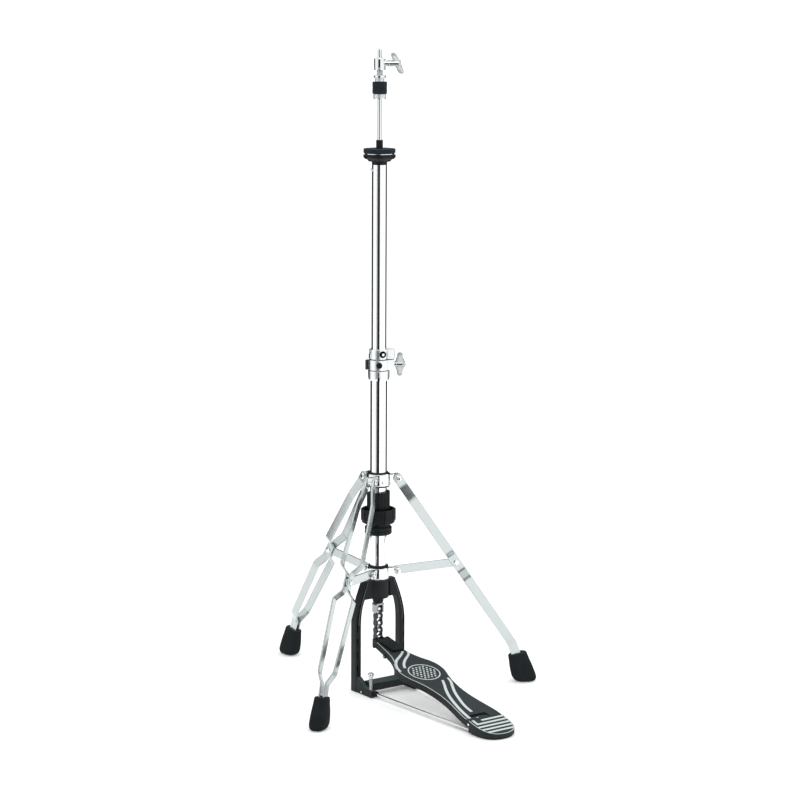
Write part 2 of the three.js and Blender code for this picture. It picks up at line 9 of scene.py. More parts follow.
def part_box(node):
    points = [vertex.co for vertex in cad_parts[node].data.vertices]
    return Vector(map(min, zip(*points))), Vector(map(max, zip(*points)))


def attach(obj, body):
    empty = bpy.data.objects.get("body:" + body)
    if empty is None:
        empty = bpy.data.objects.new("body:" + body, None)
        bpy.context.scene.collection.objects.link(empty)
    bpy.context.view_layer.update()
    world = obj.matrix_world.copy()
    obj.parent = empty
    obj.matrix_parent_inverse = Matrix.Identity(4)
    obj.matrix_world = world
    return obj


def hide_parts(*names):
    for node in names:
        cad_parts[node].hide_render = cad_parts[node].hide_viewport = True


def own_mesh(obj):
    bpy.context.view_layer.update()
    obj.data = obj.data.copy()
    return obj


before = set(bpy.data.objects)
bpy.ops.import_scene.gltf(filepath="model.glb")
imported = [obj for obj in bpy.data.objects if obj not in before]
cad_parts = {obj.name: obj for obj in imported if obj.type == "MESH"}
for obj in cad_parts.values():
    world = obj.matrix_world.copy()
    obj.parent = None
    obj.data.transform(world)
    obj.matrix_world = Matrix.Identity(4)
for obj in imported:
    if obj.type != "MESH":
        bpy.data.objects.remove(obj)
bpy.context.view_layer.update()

MM = 0.001
TURN = 2 * pi


# ---- the frame's own sizes
tube_low, tube_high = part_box("lower_tube")
AXIS = Vector(((tube_low.x + tube_high.x) / 2, (tube_low.y + tube_high.y) / 2, 0))


def span(node):
    """The bottom and top of a CAD node, in millimetres."""
    low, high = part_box(node)
    return low.z / MM, high.z / MM


def radius_of(node):
    low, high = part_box(node)
    return (high.x - low.x) / 2 / MM


LEGS = ("rear", "left", "right")
LEG_TURN = deg(2.9)
LEG_ANGLES = dict(zip(LEGS, (deg(90) + LEG_TURN, deg(210) + LEG_TURN, deg(330) + LEG_TURN)))
LEG_TILT = deg(34.1)
FOOT_TILT = deg(20)
BOOT_LEAN = deg(17)
LEG_RADIUS, LEG_Z = 33.2, 369.0
KNEE, MID_PIVOT = 362.0, 183.0
BRACE_RADIUS, BRACE_Z = 32.0, 207.5
STRIP_WIDTH, STRIP_THICK = 16.0, 3.0
WING = deg(-35)
PEDAL_SLOPE = deg(12.2)
HINGE_Y, HINGE_Z, BOARD_TOP = -303.0, 16.0, 22.0
BOARD_LENGTH, BOARD_SKIRT = 300.5, 11.5
HEEL_END = -358.0
CHAIN_PIN_Z, CHAIN_PITCH, CHAIN_LINKS = 139.5, 12.7, 5
ON_TUBE = radius_of("lower_tube") + 0.3


# ---- outlines
def arc(x, y, radius, start, end, steps=12):
    """Points of an arc about (x, y), angles in degrees."""
    angles = [deg(start + (end - start) * i / steps) for i in range(steps + 1)]
    return [(x + radius * cos(a), y + radius * sin(a)) for a in angles]


def eased(corners, radius=0.4, steps=3, closed=True):
    """Rounds each corner (x, y), or (x, y, its own radius), of an outline."""
    points = []
    count = len(corners)
    for i, corner in enumerate(corners):
        here = Vector(corner[:2])
        before = Vector(corners[i - 1][:2]) - here
        after = Vector(corners[(i + 1) % count][:2]) - here
        size = corner[2] if len(corner) > 2 else radius
        cut = min(size, before.length * 0.48, after.length * 0.48)
        if cut < 0.01 or (not closed and i in (0, count - 1)):
            points.append(tuple(here))
            continue
        a = here + before.normalized() * cut
        b = here + after.normalized() * cut
        for k in range(steps + 1):
            t = k / steps
            points.append(tuple(a * (1 - t) ** 2 + here * 2 * t * (1 - t) + b * t * t))
    return points


def bezier(a, b, c, d, steps=12):
    a, b, c, d = (Vector(p) for p in (a, b, c, d))
    made = []
    for i in range(steps + 1):
        t = i / steps
        u = 1 - t
        made.append(tuple(a * u ** 3 + b * 3 * u * u * t + c * 3 * u * t * t + d * t ** 3))
    return made


def smooth_line(points, steps=6):
    """A curve through the given points (Catmull-Rom)."""
    pts = [Vector(p) for p in points]
    pts = [pts[0] * 2 - pts[1]] + pts + [pts[-1] * 2 - pts[-2]]
    made = []
    for i in range(1, len(pts) - 2):
        p0, p1, p2, p3 = pts[i - 1:i + 3]
        for k in range(steps):
            t = k / steps
            made.append(tuple(0.5 * (
                2 * p1 + (p2 - p0) * t + (2 * p0 - 5 * p1 + 4 * p2 - p3) * t * t
                + (3 * p1 - p0 - 3 * p2 + p3) * t ** 3)))
    made.append(tuple(pts[-2]))
    return made


def headings(points):
    """Each point with the direction of the line there."""
    pts = [Vector(p) for p in points]
    last = len(pts) - 1
    return [(p, (pts[min(i + 1, last)] - pts[max(i - 1, 0)]).normalized()) for i, p in enumerate(pts)]


def ribbon(line, width):
    """A closed outline that follows a line; width is one number or (start, middle, end)."""
    widths = width if isinstance(width, tuple) else (width, width, width)
    left, right = [], []
    for i, (p, ahead) in enumerate(headings(line)):
        t = i / (len(line) - 1)
        w = (widths[0] * (1 - t) ** 2 + 2 * widths[1] * t * (1 - t) + widths[2] * t * t) / 2
        side = Vector((-ahead.y, ahead.x)) * w
        left.append(tuple(p + side))
        right.append(tuple(p - side))
    return left + right[::-1]


def toothed(inner, outer, teeth, share=0.5, steps=3, phase=0.0):
    """A round outline with rounded ribs; share is how much of each pitch stands proud."""
    corners = []
    for i in range(teeth):
        for r, at in ((inner, 0.04), (inner, 0.96 - share), (outer, 1 - share), (outer, 1.0)):
            a = (i + at + phase) / teeth * TURN
            corners.append((r * cos(a), r * sin(a)))
    return eased(corners, abs(outer - inner) * 0.8, steps)


# ---- solids (bmesh, in mm)
def skin(rings, around, closed):
    """Joins rings of points; around joins the last to the first, closed joins each ring's ends."""
    bm = bmesh.new()
    made = [[bm.verts.new(p) for p in points] for points in rings]
    count = len(made[0])
    for a, b in zip(made, made[1:] + made[:around]):
        for k in range(count if closed else count - 1):
            n = (k + 1) % count
            bm.faces.new((a[k], b[k], b[n], a[n]))
    return bm, made


def turned(corners, edge=0.4, segments=96):
    """Turns corners of (radius, z), rounded off, about the Z axis."""
    on_axis = max(corners[0][0], corners[-1][0]) < 1e-6
    outline = eased(corners, edge, closed=not on_axis)
    angles = [TURN * i / segments for i in range(segments)]
    bm, _ = skin([[(r * cos(a), r * sin(a), z) for r, z in outline] for a in angles], 1, not on_axis)
    bmesh.ops.remove_doubles(bm, verts=bm.verts, dist=1e-4)
    bmesh.ops.recalc_face_normals(bm, faces=bm.faces)
    return bm


def ring(inner, outer, bottom, top, edge=0.3, segments=96):
    corners = [(inner, bottom), (outer, bottom), (outer, top), (inner, top)]
    return turned(corners, edge, segments)


def disc(radius, bottom, top, edge=0.3, segments=64):
    corners = [(0, bottom), (radius, bottom), (radius, top), (0, top)]
    return turned(corners, edge, segments)


def loft(rings):
    """Skins rings of the same number of points and caps both ends."""
    bm, made = skin(rings, 0, True)
    bm.faces.new(made[0][::-1])
    bm.faces.new(made[-1])
    bmesh.ops.recalc_face_normals(bm, faces=bm.faces)
    return bm


def opened(mesh):
    """The mesh datablock as a bmesh; the datablock goes."""
    bm = bmesh.new()
    bm.from_mesh(mesh)
    bpy.data.meshes.remove(mesh)
    return bm


def slab(outlines, bottom, top, edge=0.4, steps=2):
    """A plate with rounded edges; the first outline is the rim and the others are holes."""
    data = bpy.data.curves.new("outline", "CURVE")
    data.dimensions = "2D"
    data.fill_mode = "BOTH"
    data.extrude = max((top - bottom) / 2 - edge, 0.0)
    data.bevel_depth = edge
    data.bevel_resolution = steps
    data.offset = -edge
    for outline in outlines:
        spline = data.splines.new("POLY")
        spline.points.add(len(outline) - 1)
        spline.points.foreach_set("co", [c for x, y in outline for c in (x, y, 0, 1)])
        spline.use_cyclic_u = True
    holder = bpy.data.objects.new("outline", data)
    mesh = bpy.data.meshes.new_from_object(holder)
    bpy.data.objects.remove(holder)
    bpy.data.curves.remove(data)
    bm = opened(mesh)
    bmesh.ops.remove_doubles(bm, verts=bm.verts, dist=1e-3)
    bmesh.ops.recalc_face_normals(bm, faces=bm.faces)
    return moved(bm, 0, 0, (bottom + top) / 2)


def wire(points, radius, sides=16):
    """A round wire along points."""
    angles = [TURN * k / sides for k in range(sides)]
    rings = []
    for p, ahead in headings(points):
        up = Vector((0, 0, 1) if abs(ahead.z) < 0.9 else (1, 0, 0))
        side = ahead.cross(up).normalized()
        lift = side.cross(ahead)
        rings.append([p + side * radius * cos(a) + lift * radius * sin(a) for a in angles])
    return loft(rings)


def moved(bm, x=0.0, y=0.0, z=0.0):
    bmesh.ops.translate(bm, verts=bm.verts, vec=(x, y, z))
    return bm


def spun(bm, angle, axis="Z"):
    bm.transform(Matrix.Rotation(angle, 4, axis))
    return bm


def along_x(bm):
    """Lays something turned about Z along X."""
    return spun(bm, pi / 2, "Y")


def pin(radius, start, end, edge=0.3, segments=64):
    """A round pin along X."""
    return along_x(disc(radius, start, end, edge, segments))


def along_y(bm):
    return spun(bm, -pi / 2, "X")


def plate_xz(outlines, low, high, edge=0.4, steps=2):
    """A plate drawn in (x, z), its thickness measured towards -Y."""
    return spun(slab(outlines, low, high, edge, steps), pi / 2, "X")


def plate_yz(outlines, x0, x1, edge=0.4, steps=2):
    """A plate drawn in (y, z), from x0 to x1."""
    plate = slab(outlines, x0, x1, edge, steps)
    plate.transform(Matrix(((0, 0, 1, 0), (1, 0, 0, 0), (0, 1, 0, 0), (0, 0, 0, 1))))
    return plate


def box(x0, x1, y0, y1, z0, z1, edge=0.4):
    return slab([[(x0, y0), (x1, y0), (x1, y1), (x0, y1)]], z0, z1, edge)


def merged(solids):
    """All the solids as one mesh datablock."""
    whole = bmesh.new()
    for bm in solids:
        mesh = bpy.data.meshes.new("part")
        bm.to_mesh(mesh)
        bm.free()
        whole.from_mesh(mesh)
        bpy.data.meshes.remove(mesh)
    mesh = bpy.data.meshes.new("whole")
    whole.to_mesh(mesh)
    whole.free()
    return mesh


def placed(name, data):
    """A new object, linked to the scene."""
    made = bpy.data.objects.new(name, data)
    bpy.context.scene.collection.objects.link(made)
    return made


def without(solid, *cutters):
    """Cuts the cutters out of a solid."""
    holder = placed("solid", merged([solid]))
    knife = placed("knife", merged(cutters))
    cut = holder.modifiers.new("cut", "BOOLEAN")
    cut.operation = "DIFFERENCE"
    cut.solver = "EXACT"
    cut.use_self = True
    cut.object = knife
    depsgraph = bpy.context.evaluated_depsgraph_get()
    made = bpy.data.meshes.new_from_object(holder.evaluated_get(depsgraph))
    bpy.data.objects.remove(holder)
    bpy.data.objects.remove(knife)
    return opened(made)


def piece(name, solids, material, body, nodes=(), sharp=32):
    """Joins solids into one object that rides on a body and stands for some CAD nodes."""
    mesh = merged(solids)
    mesh.transform(Matrix.Translation(AXIS) @ Matrix.Scale(MM, 4))
    for polygon in mesh.polygons:
        polygon.use_smooth = True
    mesh.set_sharp_from_angle(angle=deg(sharp))
    mesh.materials.clear()
    mesh.materials.append(material)
    made = placed(name, mesh)
    even = made.modifiers.new("even_shading", "WEIGHTED_NORMAL")
    even.keep_sharp = True
    even.weight = 80
    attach(made, body)
    if nodes:
        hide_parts(*nodes)
    return made


# ---- materials
class Nodes:
    """A short way to add and join shader nodes."""

    def __init__(self, name):
        self.material = bpy.data.materials.new(name)
        self.material.use_nodes = True
        self.tree = self.material.node_tree
        self.place = self.add("ShaderNodeTexCoord")["Object"]

    def feed(self, node, inputs):
        """Joins an output to each input, or sets the input to a number or a colour."""
        for key, value in inputs.items():
            target = node.inputs[key]
            if isinstance(value, bpy.types.NodeSocket):
                self.tree.links.new(value, target)
            else:
                target.default_value = (*value, 1) if target.type == "RGBA" else value

    def add(self, kind, inputs=None, **settings):
        """Adds a node and gives its outputs."""
        node = self.tree.nodes.new(kind)
        for key, value in settings.items():
            setattr(node, key, value)
        self.feed(node, inputs or {})
        return node.outputs

    def noise(self, per_metre, detail=3.0, roughness=0.5, stretch=(1, 1, 1)):
        place = self.add("ShaderNodeMapping", {"Vector": self.place, "Scale": stretch})["Vector"]
        return self.add("ShaderNodeTexNoise", {
            "Vector": place, "Scale": per_metre, "Detail": detail, "Roughness": roughness})["Fac"]

    def span(self, value, low, high, to_low, to_high):
        numbers = {"From Min": low, "From Max": high, "To Min": to_low, "To Max": to_high}
        return self.add("ShaderNodeMapRange", {"Value": value, **numbers})["Result"]

    def blend(self, factor, dark, light):
        inputs = {"Factor": factor, "A": dark, "B": light}
        return self.add("ShaderNodeMix", inputs, data_type="RGBA")["Result"]

    def bump(self, height, depth_mm, strength=1.0):
        return self.add("ShaderNodeBump", {
            "Height": height, "Distance": depth_mm * MM, "Strength": strength})["Normal"]

    def done(self, slot, inputs):
        """Feeds the shader; the slot is kept for the pieces made of this material."""
        self.feed(self.tree.nodes["Principled BSDF"], inputs)
        self.material["slot"] = slot
        return self.material


def chrome(name, slot, tint, low=0.05, high=0.12, grain=60, metal=1.0):
    """Plated metal: faint smears in the gloss and a trace of polishing waviness."""
    n = Nodes(name)
    smear = n.noise(grain, 4)
    return n.done(slot, {
        "Base Color": n.blend(smear, [c * 0.94 for c in tint], tint), "Metallic": metal,
        "Roughness": n.span(smear, 0.3, 0.7, low, high), "Normal": n.bump(n.noise(700, 2), 0.004, 0.35)})


def coated(name, slot, dark, light, rough=(0.42, 0.55), grain=1400, depth=0.03, specular=0.4, top_light=1.6):
    """Powder-coated or moulded black: fine grain; sharp edges lighter, partly as wear and partly as a
    painted highlight; faces turned upwards lighter as painted light from above.
    """
    n = Nodes(name)
    cloudy = n.noise(40, 3)
    surface = n.add("ShaderNodeNewGeometry")
    # Lighter sharp edges: partly wear, partly a painted highlight.
    worn_and_highlit_edges = n.span(surface["Pointiness"], 0.52, 0.62, 0, 0.5)
    total = n.add("ShaderNodeMath", {0: n.span(cloudy, 0.3, 0.7, 0, 0.6), 1: worn_and_highlit_edges}, operation="ADD")[0]
    # Painted light from above: faces turned upwards take a lighter colour, the light colour scaled up.
    upward = n.add("ShaderNodeSeparateXYZ", {0: surface["Normal"]})["Z"]
    painted_top_light = n.span(upward, 0.6, 1.0, 0, 1)
    return n.done(slot, {
        "Base Color": n.blend(painted_top_light, n.blend(total, dark, light), [c * top_light for c in light]),
        "Roughness": n.span(cloudy, 0.3, 0.7, *rough), "Specular IOR Level": specular,
        "Normal": n.bump(n.noise(grain, 2), depth, 0.6)})


def felted(name, slot, dark, light):
    n = Nodes(name)
    fibre = n.span(n.noise(900, 5, 0.7, (1, 1, 2.2)), 0.4, 0.68, 0, 1)
    return n.done(slot, {
        "Base Color": n.blend(fibre, dark, light), "Roughness": 0.95, "Sheen Weight": 0.04,
        "Specular IOR Level": 0.1, "Normal": n.bump(n.noise(1300, 4, 0.7), 0.35)})


def threaded(name, slot, tint, pitch_mm):
    """Grooved metal, its colour darker in each groove as painted shade; the wave texture has one band in
    0.314 units at scale 1.
    """
    n = Nodes(name)
    wave = n.add("ShaderNodeTexWave", {"Vector": n.place, "Scale": 0.314 / (pitch_mm * MM)},
                 wave_type="BANDS", bands_direction="Z")["Fac"]
    return n.done(slot, {
        "Base Color": n.blend(n.span(wave, 0, 1, 0.4, 1), [c * 0.35 for c in tint], tint), "Metallic": 1,
        "Roughness": n.span(n.noise(80, 3), 0.3, 0.7, 0.15, 0.25), "Normal": n.bump(wave, pitch_mm * 0.4)})


def painted(name, slot, dark, light):
    """Satin silver print with a slight mottle."""
    n = Nodes(name)
    return n.done(slot, {
        "Base Color": n.blend(n.noise(500, 3), dark, light),
        "Roughness": n.span(n.noise(120, 2), 0.3, 0.7, 0.42, 0.52),
        "Normal": n.bump(n.noise(1500, 2), 0.02, 0.4)})


CHROME_TUBE = chrome("chrome_tube", "chrome_tube", (0.90, 0.91, 0.92), 0.03, 0.07, 25)
CHROME = chrome("chrome_parts", "chrome_parts", (0.80, 0.82, 0.825))
SATIN = chrome("satin_chrome", "chrome_parts", (0.84, 0.86, 0.865), 0.26, 0.36)
LEG_STEEL = chrome("leg_steel", "leg_steel", (0.54, 0.58, 0.58), 0.13, 0.20, 60, 0.88)
GREY_CHROME = chrome("grey_chrome", "chrome_parts", (0.50, 0.53, 0.53), 0.12, 0.2)
DULL_STEEL = chrome("chain_steel", "chain_steel", (0.36, 0.375, 0.38), 0.2, 0.3, 200)
DARK_STEEL = chrome("chain_plates", "chain_steel", (0.055, 0.06, 0.064), 0.25, 0.4, 200)
# The cast black has a strong painted light from above: its upward faces are much lighter.
CAST = coated("cast_black", "cast_black", (0.006, 0.0075, 0.008), (0.014, 0.018, 0.019),
              specular=0.18, top_light=4.5)
BOARD = coated("board_black", "cast_black", (0.010, 0.013, 0.014), (0.019, 0.024, 0.025),
               (0.5, 0.62), 1100, 0.04, 0.16)
PLASTIC = coated("plastic_black", "plastic_black", (0.003, 0.0042, 0.0048), (0.009, 0.012, 0.013),
                 (0.3, 0.42), 2200, 0.01, 0.16)
# Near-black for gaps, seams, slits and screw wells: painted shade.
RECESS_SHADE = coated("recess_painted_shade", "plastic_black", (0.001, 0.001, 0.001),
                    (0.002, 0.002, 0.002), (0.6, 0.8), specular=0.05)
RUBBER = coated("rubber", "rubber", (0.006, 0.008, 0.009), (0.014, 0.018, 0.020),
                (0.68, 0.82), 1800, 0.05, 0.12)
# A lighter cast colour for the ridges on the yoke's rims: partly wear, partly a painted highlight line.
RIDGE_WEAR_AND_HIGHLIGHT = coated("cast_ridge_wear_and_highlight", "cast_black", (0.05, 0.06, 0.06), (0.12, 0.14, 0.14))
FELT = felted("felt", "felt", (0.003, 0.005, 0.007), (0.024, 0.036, 0.046))
THREAD = threaded("thread", "chrome_tube", (0.82, 0.83, 0.84), 1.25)
SILVER = painted("silver_print", "cast_black", (0.50, 0.55, 0.55), (0.62, 0.67, 0.67))


# ---- shared small parts
def bolt_head(radius, height, recess=0.0):
    """A domed round head standing on z = 0, with a screwdriver well if recess is given."""
    profile = [(0, 0), (radius, 0), (radius, height * 0.55, height * 0.3),
               (radius * 0.72, height, radius * 0.25)]
    if recess:
        profile += [(radius * 0.42, height, 0.1), (radius * 0.40, height - recess, 0.1)]
    return turned(profile + [(0, height - recess)], 0.2, 40)


def at_angle(solids, angle, z=0.0):
    """Turns solids made along +X on to a direction of the stand."""
    return [moved(spun(bm, angle), 0, 0, z) for bm in solids]


def wing_outline(start, end, reach, sweep):
    """Half a wing in (x, z): broad at the hub, swept outwards to a rounded tip."""
    tip = start + sweep
    return (
        bezier((start + 1, 2), (start + 1, reach * 0.45), (tip, reach * 0.5), (tip, reach * 0.8))
        + arc(tip + 4.6, reach - 4.6, 4.6, 175, 0, 10)
        + bezier((tip + 9.2, reach * 0.7), (tip + 9.2, reach * 0.4), (end - 1, reach * 0.42), (end - 1, 2))
    )


def wing_screw(start, end, span_mm, sweep, hub_start=None, girth=5.0, lean=0.0):
    """Two wings on a hub along +X, standing in the XZ plane: the rims, then the brighter rest; the two
    later take darker and lighter metals, a painted shade outline round each wing.
    """
    foot = start if hub_start is None else hub_start
    hub = along_x(turned([
        (0, foot), (girth + 0.4, foot, 0.6), (girth + 0.5, foot + 2.2), (girth, foot + 2.8),
        (girth, end - 4.5), (girth + 0.6, end - 3.6), (girth + 0.2, end, 1.2), (0, end)], 0.3, 48))
    rims, panels = [], []
    for side in (1, -1):
        outline = [(x + lean * side * z, side * z) for x, z in wing_outline(start, end, span_mm / 2, sweep)]
        rims.append(plate_xz([outline], -2.2, 2.2, 1.1, 3))
        inner = [(x * 0.72 + (start + sweep + 9.0 + lean * z) * 0.28, z * 0.76 + side * 2.2)
                 for x, z in outline]
        panels.append(plate_xz([inner], -2.7, 2.7, 0.5))
    return rims, [hub] + panels


def place_wings(name, node, body, z, turn, rims, bright):
    """Turns a wing screw about its own axis and makes its two pieces: grey chrome for the hub and panels,
    darker steel for the rims as painted shade.
    """
    for bm in rims + bright:
        spun(bm, turn, "X")
    piece(f"{name}_wings", at_angle(bright, WING, z), GREY_CHROME, body, [node])
    # Painted shade: the rims take a darker metal than the rest of the same screw, a dark outline round each
    # wing.
    piece(f"{name}_wing_shaded_rims", at_angle(rims, WING, z), DULL_STEEL, body)


# ---- tubes and pull rod
def tube(node, bore, material, body):
    bottom, top = span(node)
    radius = radius_of(node)
    piece(f"{node}_smooth", [ring(bore, radius, bottom, top, 0.35, 128)], material, body, [node])


tube("lower_tube", 13.1, CHROME_TUBE, "base")
tube("upper_tube", 11.5, CHROME_TUBE, "upper_section")

ROD_BOTTOM, ROD_TOP = span("pull_rod")
SPRING_TOP = 343.0


def pull_rod():
    outline = [
        (0, ROD_BOTTOM), (3.5, ROD_BOTTOM), (3.5, SPRING_TOP), (9, SPRING_TOP), (9, SPRING_TOP + 3.7),
        (3.5, SPRING_TOP + 3.7), (3.5, ROD_TOP - 1.6, 0.6), (2.4, ROD_TOP, 0.5), (0, ROD_TOP)]
    piece("pull_rod_smooth", [turned(outline, 0.2, 48)], CHROME, "rod", ["pull_rod"])


def return_spring():
    """The coil inside the tube, under the rod's washer; on the real stand it shortens as the pedal goes
    down.
    """
    turns, coil, gauge, steps = 7, 7.6, 1.0, 280
    bottom, top = span("return_spring")
    low, high = bottom + gauge, top - gauge
    path = []
    for k in range(steps + 1):
        a = TURN * turns * k / steps
        path.append((coil * cos(a), coil * sin(a), low + (high - low) * k / steps))
    coils = piece("return_spring_coil", [wire(path, gauge, 12)], DULL_STEEL, "base", ["return_spring"])
    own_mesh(coils)


pull_rod()
return_spring()
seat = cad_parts["spring_seat"]
seat.data.materials.clear()
seat.data.materials.append(DULL_STEEL)


# ---- clutch
CLUTCH_SCREW_Z = 1072.5


def clutch():
    bottom, top = span("clutch_body")
    outline = [
        (3.8, bottom, 0.2), (8.6, bottom, 0.4), (9.5, bottom + 1, 0.3), (9.5, bottom + 3.4, 0.2),
        (9.1, bottom + 3.7, 0.2), (9.5, bottom + 4.1, 0.2), (9.5, top - 1.4, 0.8), (8.4, top, 0.6),
        (3.8, top, 0.2)]
    boss = pin(5.4, 7.5, 10.3, 0.4, 40)
    piece("clutch_collar", [turned(outline)] + at_angle([boss], WING, CLUTCH_SCREW_Z), CHROME, "clutch",
          ["clutch_body"])

    low, high = span("clutch_tube")
    piece("clutch_thread", [ring(3.8, 5.0, low, high, 0.3, 64)], THREAD, "clutch", ["clutch_tube"])

    bore = arc(0, 0, 5.3, 360, 15, 47)
    low, high = span("clutch_lock_nut")
    flange = ring(5.3, 10, high - 4.2, high, 0.7)
    nut = slab([toothed(7.2, 7.7, 30), bore], low, high - 3.8, 0.3)
    piece("lock_nut", [flange, nut], CHROME, "clutch", ["clutch_lock_nut"])

    low, high = span("clutch_bottom_nut")
    grip = slab([toothed(10.3, 10.8, 40), bore], low + 1.4, high - 0.8, 0.25)
    piece("bottom_nut", [grip, ring(5.3, 10.2, low, high, 0.6)], CHROME, "clutch", ["clutch_bottom_nut"])

    for name in ("clutch_felt_upper", "clutch_felt_lower"):
        low, high = span(name)
        felt = turned([
            (5.3, low), (12.1, low, 0.6), (12.3, (low + high) / 2), (12.1, high, 0.6), (5.3, high)])
        piece(f"{name}_soft", [felt], FELT, "clutch", [name])

    rims, screw = wing_screw(23, 35.5, 41, 1.5, 13.2, 5.2, -0.36)
    screw += [pin(4.4, 10.5, 13.4, 0.3, 40), pin(2.5, 4.5, 12, 0.2, 32)]
    place_wings("clutch", "clutch_wing_screw", "clutch_screw", CLUTCH_SCREW_Z, 0.6, rims, screw)


clutch()


# ---- cymbal seat
def cymbal_seat():
    bottom, top = span("seat_cup")
    cup = [
        (4.4, bottom), (11.2, bottom), (11.2, 904.8), (12.7, 904.8, 0.3), (12.9, 909.6, 0.8),
        (18.6, 910.0, 0.8), (20.2, 912.8, 0.8), (24.2, 914.2, 0.8), (27.0, 916.8, 0.8),
        (27.3, 921.0, 0.6), (5.75, 921.0), (5.75, top, 0.5), (4.4, top, 0.3)]
    piece("seat_cup_smooth", [turned(cup, 0.4, 128)], PLASTIC, "upper_section", ["seat_cup"])

    low, high = span("seat_washer")
    washer = turned([
        (6.05, low), (24.4, low), (25, low + 0.9), (25, high - 0.3), (24.7, high), (6.05, high)], 0.3, 128)
    piece("seat_washer_smooth", [washer], CHROME, "upper_section", ["seat_washer"])

    low, high = span("seat_felt")
    felt = turned([
        (6.05, low), (26.6, low, 0.6), (27.0, low + 3.2, 2), (26.8, high - 0.3, 0.7), (25.8, high, 0.7),
        (15, high - 0.15, 6), (7.2, high, 0.5), (6.05, high - 0.4)], 0.5, 160)
    piece("seat_felt_soft", [felt], FELT, "upper_section", ["seat_felt"])

    screw = along_x(turned([
        (0, 12.4), (2.6, 12.4), (2.6, 14.8, 0.6), (1.5, 14.8), (1.4, 13.6), (0, 13.6)], 0.2, 40))
    piece("seat_set_screw", at_angle([screw], deg(152), 895.3), CHROME, "upper_section")


cymbal_seat()


# ---- height clamp and memory lock
def band(inner, outer, ear_reach, ear_half, slit_half, draft=1.9):
    """The outline of a split band with two ears at +X, as one closed C."""
    gap_in = degrees(asin(slit_half / inner))
    gap_out = degrees(asin(ear_half / outer))
    return eased(
        [(ear_reach, slit_half), (ear_reach, ear_half - draft, 1.2)]
        + arc(0, 0, outer, gap_out, 360 - gap_out, 60)
        + [(ear_reach, draft - ear_half, 1.2), (ear_reach, -slit_half)]
        + arc(0, 0, inner, 360 - gap_in, gap_in, 60), 0.3, 2)


def memory_lock():
    low, high = span("memory_lock")
    # Painted shade: a near-black ring in the gap under the band.
    piece("memory_gap_shade", [ring(13.0, 15.9, low + 0.1, low + 1.5, 0.1)], RECESS_SHADE, "memory_band")
    body = spun(slab([band(13.0, 16.4, 27.5, 6.0, 1.0)], low + 0.9, high, 0.6, 3), WING)
    notch, nose = at_angle([
        box(11, 20, -5.5, 5.5, high - 4.6, high + 1, 0.3),
        box(15.2, 17.4, -3.4, 3.4, low + 2, high - 7, 0.5)], deg(168))
    piece("memory_band", [without(body, notch), nose], SATIN, "memory_band", ["memory_lock"])
    head_angle, middle = deg(-101), low + 9.8
    seat = along_x(turned([(0, 15.2), (5.9, 15.2), (5.9, 16.8, 0.3), (5.0, 17.4), (0, 17.4)], 0.3, 48))
    # Painted shade: a near-black seat round the key, as in a hole.
    piece("memory_bolt_seat_shade", at_angle([seat], head_angle, middle), RECESS_SHADE, "memory_band")
    key = along_x(box(-2.2, 2.2, -2.2, 2.2, 15.4, 18.4, 0.5))
    piece("memory_bolt_key", at_angle([key], head_angle, middle), CHROME, "memory_band")


CLAMP_BOLT_Z = 567.0


def height_clamp():
    low, high = span("tube_clamp")
    waist = 557.0
    barrel = moved(disc(3.4, waist + 0.4, high - 0.6, 0.8, 48), -19.6, 0, 0)
    hinge_web = box(-20.5, -14, -3.2, 3.2, waist + 1, high - 1, 0.8)
    piece("clamp_hinge", at_angle([barrel, hinge_web], WING), DARK_STEEL, "base")
    # Painted shade: a near-black ring in the seam.
    piece("clamp_seam_shade", [ring(14.8, 17.5, waist - 1.0, waist + 1.0, 0.1)], RECESS_SHADE, "base")

    collar = slab([band(13.0, 17.9, 25.5, 8.0, 2.9)], waist + 0.5, high, 0.6, 3)
    skirt = turned([
        (14.6, low, 0.4), (16.6, low, 1.0), (18.2, low + 4, 2.4), (18.3, waist - 1.0, 0.5),
        (17.6, waist - 0.5), (14.6, waist - 0.5)], 0.3, 120)
    slit = box(12, 24, -1.2, 1.2, low - 2, waist - 2.2, 0.3)
    hollow = box(12, 24, -2.6, 2.6, low - 2, low + 6, 1.0)
    body = without(skirt, *at_angle([slit, hollow], deg(-127)))
    piece("clamp_body", [body] + at_angle([collar], WING), SATIN, "base", ["tube_clamp"])
    insert = along_x(turned([
        (0, 16.0), (5.3, 16.0), (5.3, 18.2, 0.5), (4.4, 18.3), (3.9, 17.9), (0, 17.9)], 0.3, 48))
    piece("clamp_insert", at_angle([insert], deg(-123), 566.6), PLASTIC, "base")

    eye = plate_xz([arc(20.4, 0, 4.4, 30, 330, 20) + [(24.5, -2.4), (24.5, 2.4)]], -2.6, 2.6)
    shank = pin(2.5, 23, 46, 0.4, 40)
    piece("clamp_eye_bolt", at_angle([eye, shank], WING, CLAMP_BOLT_Z), CHROME, "base", ["clamp_bolt"])
    rims, bright = wing_screw(27, 44.5, 48, 4)
    place_wings("clamp", "clamp_wing_nut", "clamp_nut", CLAMP_BOLT_Z, deg(28), rims, bright)


memory_lock()
height_clamp()


